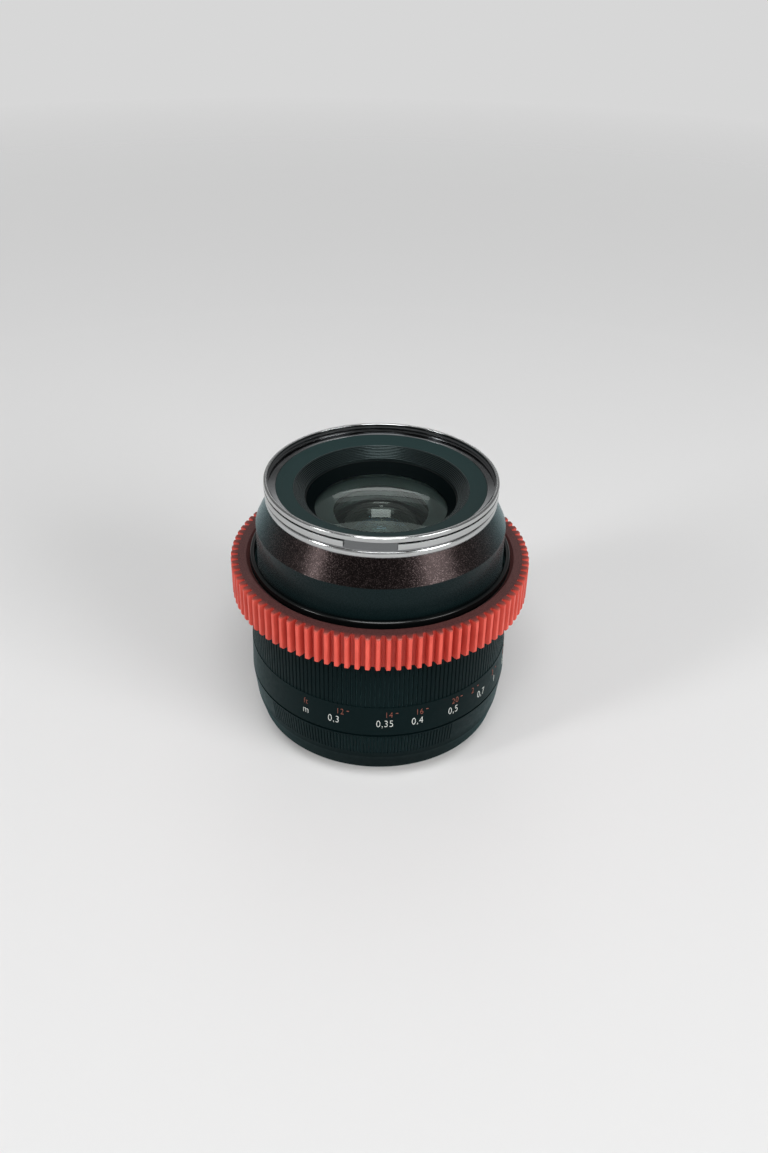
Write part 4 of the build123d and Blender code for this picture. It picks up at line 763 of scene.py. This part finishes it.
def makeElement(name, values):
    radius, frontZ, frontCurve, frontReach, rearZ, rearCurve, rearReach, tint, film = values
    shares = [step / faceSteps for step in range(faceSteps + 1)]
    front = [(frontReach * share, frontZ - sag(frontCurve, frontReach * share))
             for share in shares]
    rear = [(rearReach * share, rearZ + sag(rearCurve, rearReach * share))
            for share in reversed(shares)]
    between = []
    if name == "element_1":  # its ground ring stands clear of the seat
        rimZ, footR, footZ = groundRing["rimZ"], groundRing["footR"], groundRing["footZ"]
        between = [(frontReach, rimZ), (radius, rimZ), (radius, footZ), (footR, footZ),
                   (footR, rear[0][1])]
        finish = coatedGlass(name + "Glass", rearReach * mm, tint, film,
                             (rimZ + groundRing["paintGap"]) * mm)
    else:
        if frontReach < radius:
            between.append((radius, front[-1][1]))
        if rearReach < radius:
            between.append((radius, rear[0][1]))
        finish = coatedGlass(name + "Glass", min(frontReach, rearReach) * mm, tint, film)
    piece = turned(name + "Polished", front + between + rear, glassSteps, closed=False)
    smooth(piece, 25)
    piece.data.materials.append(finish)
    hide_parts(name)
    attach(piece, "front_body")


for name, values in glass.items():
    makeElement(name, values)
print("glass made")


# Ridged baffle, and the glossy rim of the focus ring

baffle = {
    "outerR": 22.45, "topZ": 72.2, "ridges": 9, "across": 2.95, "down": 2.65, "bottomZ": 68.95,
    "undercut": 0.06, "edge": 0.11, "steps": 360,
}


def makeBaffle():
    size = baffle
    stepR, stepZ = size["across"] / size["ridges"], size["down"] / size["ridges"]
    profile = [(size["outerR"], size["bottomZ"]), (size["outerR"], size["topZ"])]
    for ridge in range(size["ridges"]):
        innerR = size["outerR"] - (ridge + 1) * stepR
        ledgeZ = size["topZ"] - ridge * stepZ
        profile += [(innerR + size["edge"], ledgeZ), (innerR, ledgeZ - size["edge"])]
        if ridge < size["ridges"] - 1:
            profile.append((innerR + size["undercut"], ledgeZ - stepZ))
    profile.append((profile[-1][0], size["bottomZ"]))
    piece = turned("ridgedBaffle", profile, size["steps"])
    smooth(piece, 20)
    piece.data.materials.append(finishes["ridges"])
    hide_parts("ridged_baffle")
    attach(piece, "front_body")


rim = {
    "innerR": 32.95, "outerR": 34.1, "footShade": 52.1, "top": 54.3, "slopeIn": 0.35,
    "slopeDown": 0.25, "innerRound": 0.15, "edge": 0.12, "edgeSteps": 3, "edgeAngle": 20,
    "steps": 240,
}


def makeFocusRim():
    # The rim stands above the gear, with a sloped and rounded top edge
    size = rim
    piece = turned("focusRim", [
        (size["innerR"], size["footShade"]), (size["outerR"], size["footShade"]),
        (size["outerR"], size["top"] - size["slopeDown"]),
        (size["outerR"] - size["slopeIn"], size["top"]),
        (size["innerR"] + size["innerRound"], size["top"]),
        (size["innerR"], size["top"] - size["innerRound"]),
    ], size["steps"])
    roundEdges(piece, size["edge"] * mm, size["edgeSteps"], size["edgeAngle"])
    smooth(piece, 40)
    piece.data.materials.append(finishes["rim"])
    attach(piece, "focus_body")


makeBaffle()
makeFocusRim()
print("baffle and focus rim made")


# Distance scale on the focus ring, and depth of field scale on the rear barrel

bands = {  # body under the marks: radius and height of the lower and the upper edge
    "focus_body": ((35.0, 19.1), (34.75, 28.0)),
    "mount_body": ((34.1, 10.6), (35.0, 18.5)),
}
lettering = {"proud": 0.035, "thick": 0.04, "thin": 0.058, "narrow": 0.80, "spacing": 1.08}
distanceScale = {
    "feetHeight": 25.65, "feetSize": 2.6, "metreHeight": 22.8, "metreSize": 3.1,
    "dashTurn": 3.4, "dashHeight": 26.2, "dashSize": (0.62, 0.17),
    "infinityTurn": 103.0, "infinitySize": 4.0, "infinityHeight": 24.2,
}
marks = [  # azimuth from -Y towards +X and words, first of the feet and then of the metres
    (-31.6, "ft", -31.6, "m"), (-15.6, "12", -18.4, "0,3"), (5.0, "14", 3.4, "0,35"),
    (18.1, "16", 17.3, "0,4"), (35.2, "20", 34.3, "0,5"), (45.4, "2", 51.3, "0,7"),
    (61.0, "3", 63.0, "1"), (77.0, "5", 77.5, "1,5"), (89.0, "10", 88.5, "3"),
]
depthScale = {  # index line at infinity, and lines and apertures at their turns on each side
    "lines": (15.4, 11.2, 7.7, 5.6, 2.8), "lineHeight": 17.35, "lineSize": (0.15, 1.3),
    "indexSize": (0.32, 1.9), "numbers": ((22, 15.6), (16, 10.9), (8, 5.6)),
    "numberHeight": 15.2, "numberSize": 2.0,
}


def wrapped(piece, angle, height, finish, body):
    # Bends a flat mark round its band, with its back sunk under the surface
    (lowR, lowZ), (highR, highZ) = bands[body]
    slope = (highR - lowR) / (highZ - lowZ)
    radius = lowR + slope * (height - lowZ) + lettering["proud"]
    for vertex in piece.data.vertices:
        across, up, out = vertex.co / mm
        turn = math.radians(angle - 90) + across / radius
        reach = radius + out + up * slope
        vertex.co = (reach * mm * math.cos(turn), reach * mm * math.sin(turn), (height + up) * mm)
    piece.data.materials.clear()
    piece.data.materials.append(finish)
    return piece


def numeral(words, size, angle, height, finish, body):
    clearSelection()
    bpy.ops.object.text_add(location=(0, 0, 0))
    text = bpy.context.object.data
    text.body = words
    text.size = size * mm
    text.align_x = "CENTER"
    text.align_y = "CENTER"
    text.extrude = lettering["thick"] * mm
    text.offset = -lettering["thin"] * mm
    text.space_character = lettering["spacing"]
    bpy.ops.object.convert(target="MESH")
    piece = bpy.context.object
    piece.scale.x = lettering["narrow"]
    placed(piece)
    return wrapped(piece, angle, height, finish, body)


def dash(angle, height, size, finish, body):
    clearSelection()
    width, tall = size
    bpy.ops.mesh.primitive_cube_add(
        size=1, location=(0, 0, 0), scale=(width * mm, tall * mm, 2 * lettering["thick"] * mm))
    piece = bpy.context.object
    placed(piece)
    return wrapped(piece, angle, height, finish, body)


def printed(title, pieces, body):
    # All the marks of one colour become one piece
    clearSelection()
    for piece in pieces:
        piece.select_set(True)
    bpy.context.view_layer.objects.active = pieces[0]
    bpy.ops.object.join()
    whole = bpy.context.object
    whole.name = title
    whole.data.name = title
    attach(whole, body)


def makeDistanceScale():
    size, body = distanceScale, "focus_body"
    feetPaint, metrePaint = finishes["feet"], finishes["metres"]
    feetPieces, metrePieces = [], []
    for feetTurn, feet, metreTurn, metres in marks:
        feetPieces.append(numeral(feet, size["feetSize"], feetTurn, size["feetHeight"],
                                  feetPaint, body))
        metrePieces.append(numeral(metres, size["metreSize"], metreTurn, size["metreHeight"],
                                   metrePaint, body))
        if feet != "ft":
            feetPieces.append(dash(feetTurn + size["dashTurn"], size["dashHeight"],
                                   size["dashSize"], feetPaint, body))
    metrePieces.append(numeral("\u221e", size["infinitySize"], size["infinityTurn"],
                               size["infinityHeight"], metrePaint, body))
    printed("feetScale", feetPieces, "focus_body")
    printed("metreScale", metrePieces, "focus_body")


def makeDepthScale():
    size, body = depthScale, "mount_body"
    middle, whitePaint = distanceScale["infinityTurn"], finishes["metres"]
    pieces = [dash(middle, size["lineHeight"], size["indexSize"], whitePaint, body)]
    for side in (-1, 1):
        for turn in size["lines"]:
            pieces.append(dash(middle + side * turn, size["lineHeight"], size["lineSize"],
                               whitePaint, body))
        for number, turn in size["numbers"]:
            pieces.append(numeral(str(number), size["numberSize"], middle + side * turn,
                                  size["numberHeight"], whitePaint, body))
    printed("depthScale", pieces, body)


makeDistanceScale()
makeDepthScale()
print("scales made")


# Floor, light and camera

studio = {
    "floor": (0.72, 0.72, 0.72), "floorSize": 2.8, "floorRoughness": 0.9, "floorZ": -0.0001,
    "fade": (0.32, 0.90),  # the paper fades into the horizon between these distances
    "horizon": (0.68, 0.68, 0.68), "world": (0.22, 0.22, 0.22), "band": (0.05, 0.20),
    "aim": (0.0, 0.0, 0.045),
}
lamps = {  # place, size and power
    "left": ((-1.20, -0.76, 0.62), (0.26, 0.80), 9.0),
    "right": ((1.10, -0.90, 0.62), (0.72, 0.80), 14.5),
    "window": ((0.0, 1.04, 0.895), (0.11, 0.12), 0.10),
    "backLow": ((0.0, 1.31, 0.565), (0.52, 0.085), 0.20),
    "backMiddle": ((0.0, 1.28, 0.650), (0.52, 0.085), 0.12),
    "backHigh": ((0.0, 1.24, 0.730), (0.52, 0.075), 0.04),
    "ceiling": ((0.0, 0.80, 1.09), (0.90, 0.40), 0.9),
    "top": ((0.0, -0.90, 1.45), (0.90, 0.70), 16.5),
}
view = {
    "place": (0.0, -0.2379, 0.20717), "turn": (55.599, -1.0825, 0.4591), "lens": 33.47,
    "sensor": 36.0, "near": 0.01,
}


def makeFloor():
    clearSelection()
    bpy.ops.mesh.primitive_plane_add(size=studio["floorSize"], location=(0, 0, studio["floorZ"]))
    floor = bpy.context.object
    floor.name = "floor"
    finish = Finish("floorPaper", {"Roughness": studio["floorRoughness"],
                                   "Base Color": (*studio["floor"], 1)})
    finish.mixWith(finish.node("BsdfTransparent"), finish.spread(finish.radius(), *studio["fade"]))
    floor.data.materials.append(finish.material)


def makeLamp(title, place, size, power):
    clearSelection()
    bpy.ops.object.light_add(type="AREA", location=place)
    lamp = bpy.context.object
    lamp.name = title
    lamp.data.shape = "RECTANGLE"
    lamp.data.size, lamp.data.size_y = size
    lamp.data.energy = power
    aim = Vector(studio["aim"]) - Vector(place)
    lamp.rotation_euler = aim.to_track_quat("-Z", "Y").to_euler()


def makeWorld():
    # Pale at the horizon and darker above
    world = bpy.data.worlds.new("studioWorld")
    world.use_nodes = True
    bpy.context.scene.world = world
    tree = world.node_tree
    start = Wire(tree)
    direction = start.node("TexCoord", output="Generated")
    up = start.node("SeparateXYZ", inputs={0: direction}, output="Z")
    low, high = studio["band"]
    share = start.node("MapRange", inputs={0: up, 1: low, 2: high})
    shade = start.node("Mix", {"data_type": "RGBA"},
                       {0: share, 6: (*studio["horizon"], 1), 7: (*studio["world"], 1)}, output=2)
    tree.links.new(shade.socket, tree.nodes["Background"].inputs["Color"])


def makeCamera():
    clearSelection()
    bpy.ops.object.camera_add(location=view["place"],
                              rotation=[math.radians(turn) for turn in view["turn"]])
    camera = bpy.context.object
    camera.name = "camera"
    camera.data.sensor_width = view["sensor"]
    camera.data.lens = view["lens"]
    camera.data.clip_start = view["near"]
    bpy.context.scene.camera = camera


makeFloor()
for title, (place, size, power) in lamps.items():
    makeLamp(title + "Lamp", place, size, power)
makeWorld()
makeCamera()
bpy.context.scene.view_settings.view_transform = "Standard"
print("studio made")
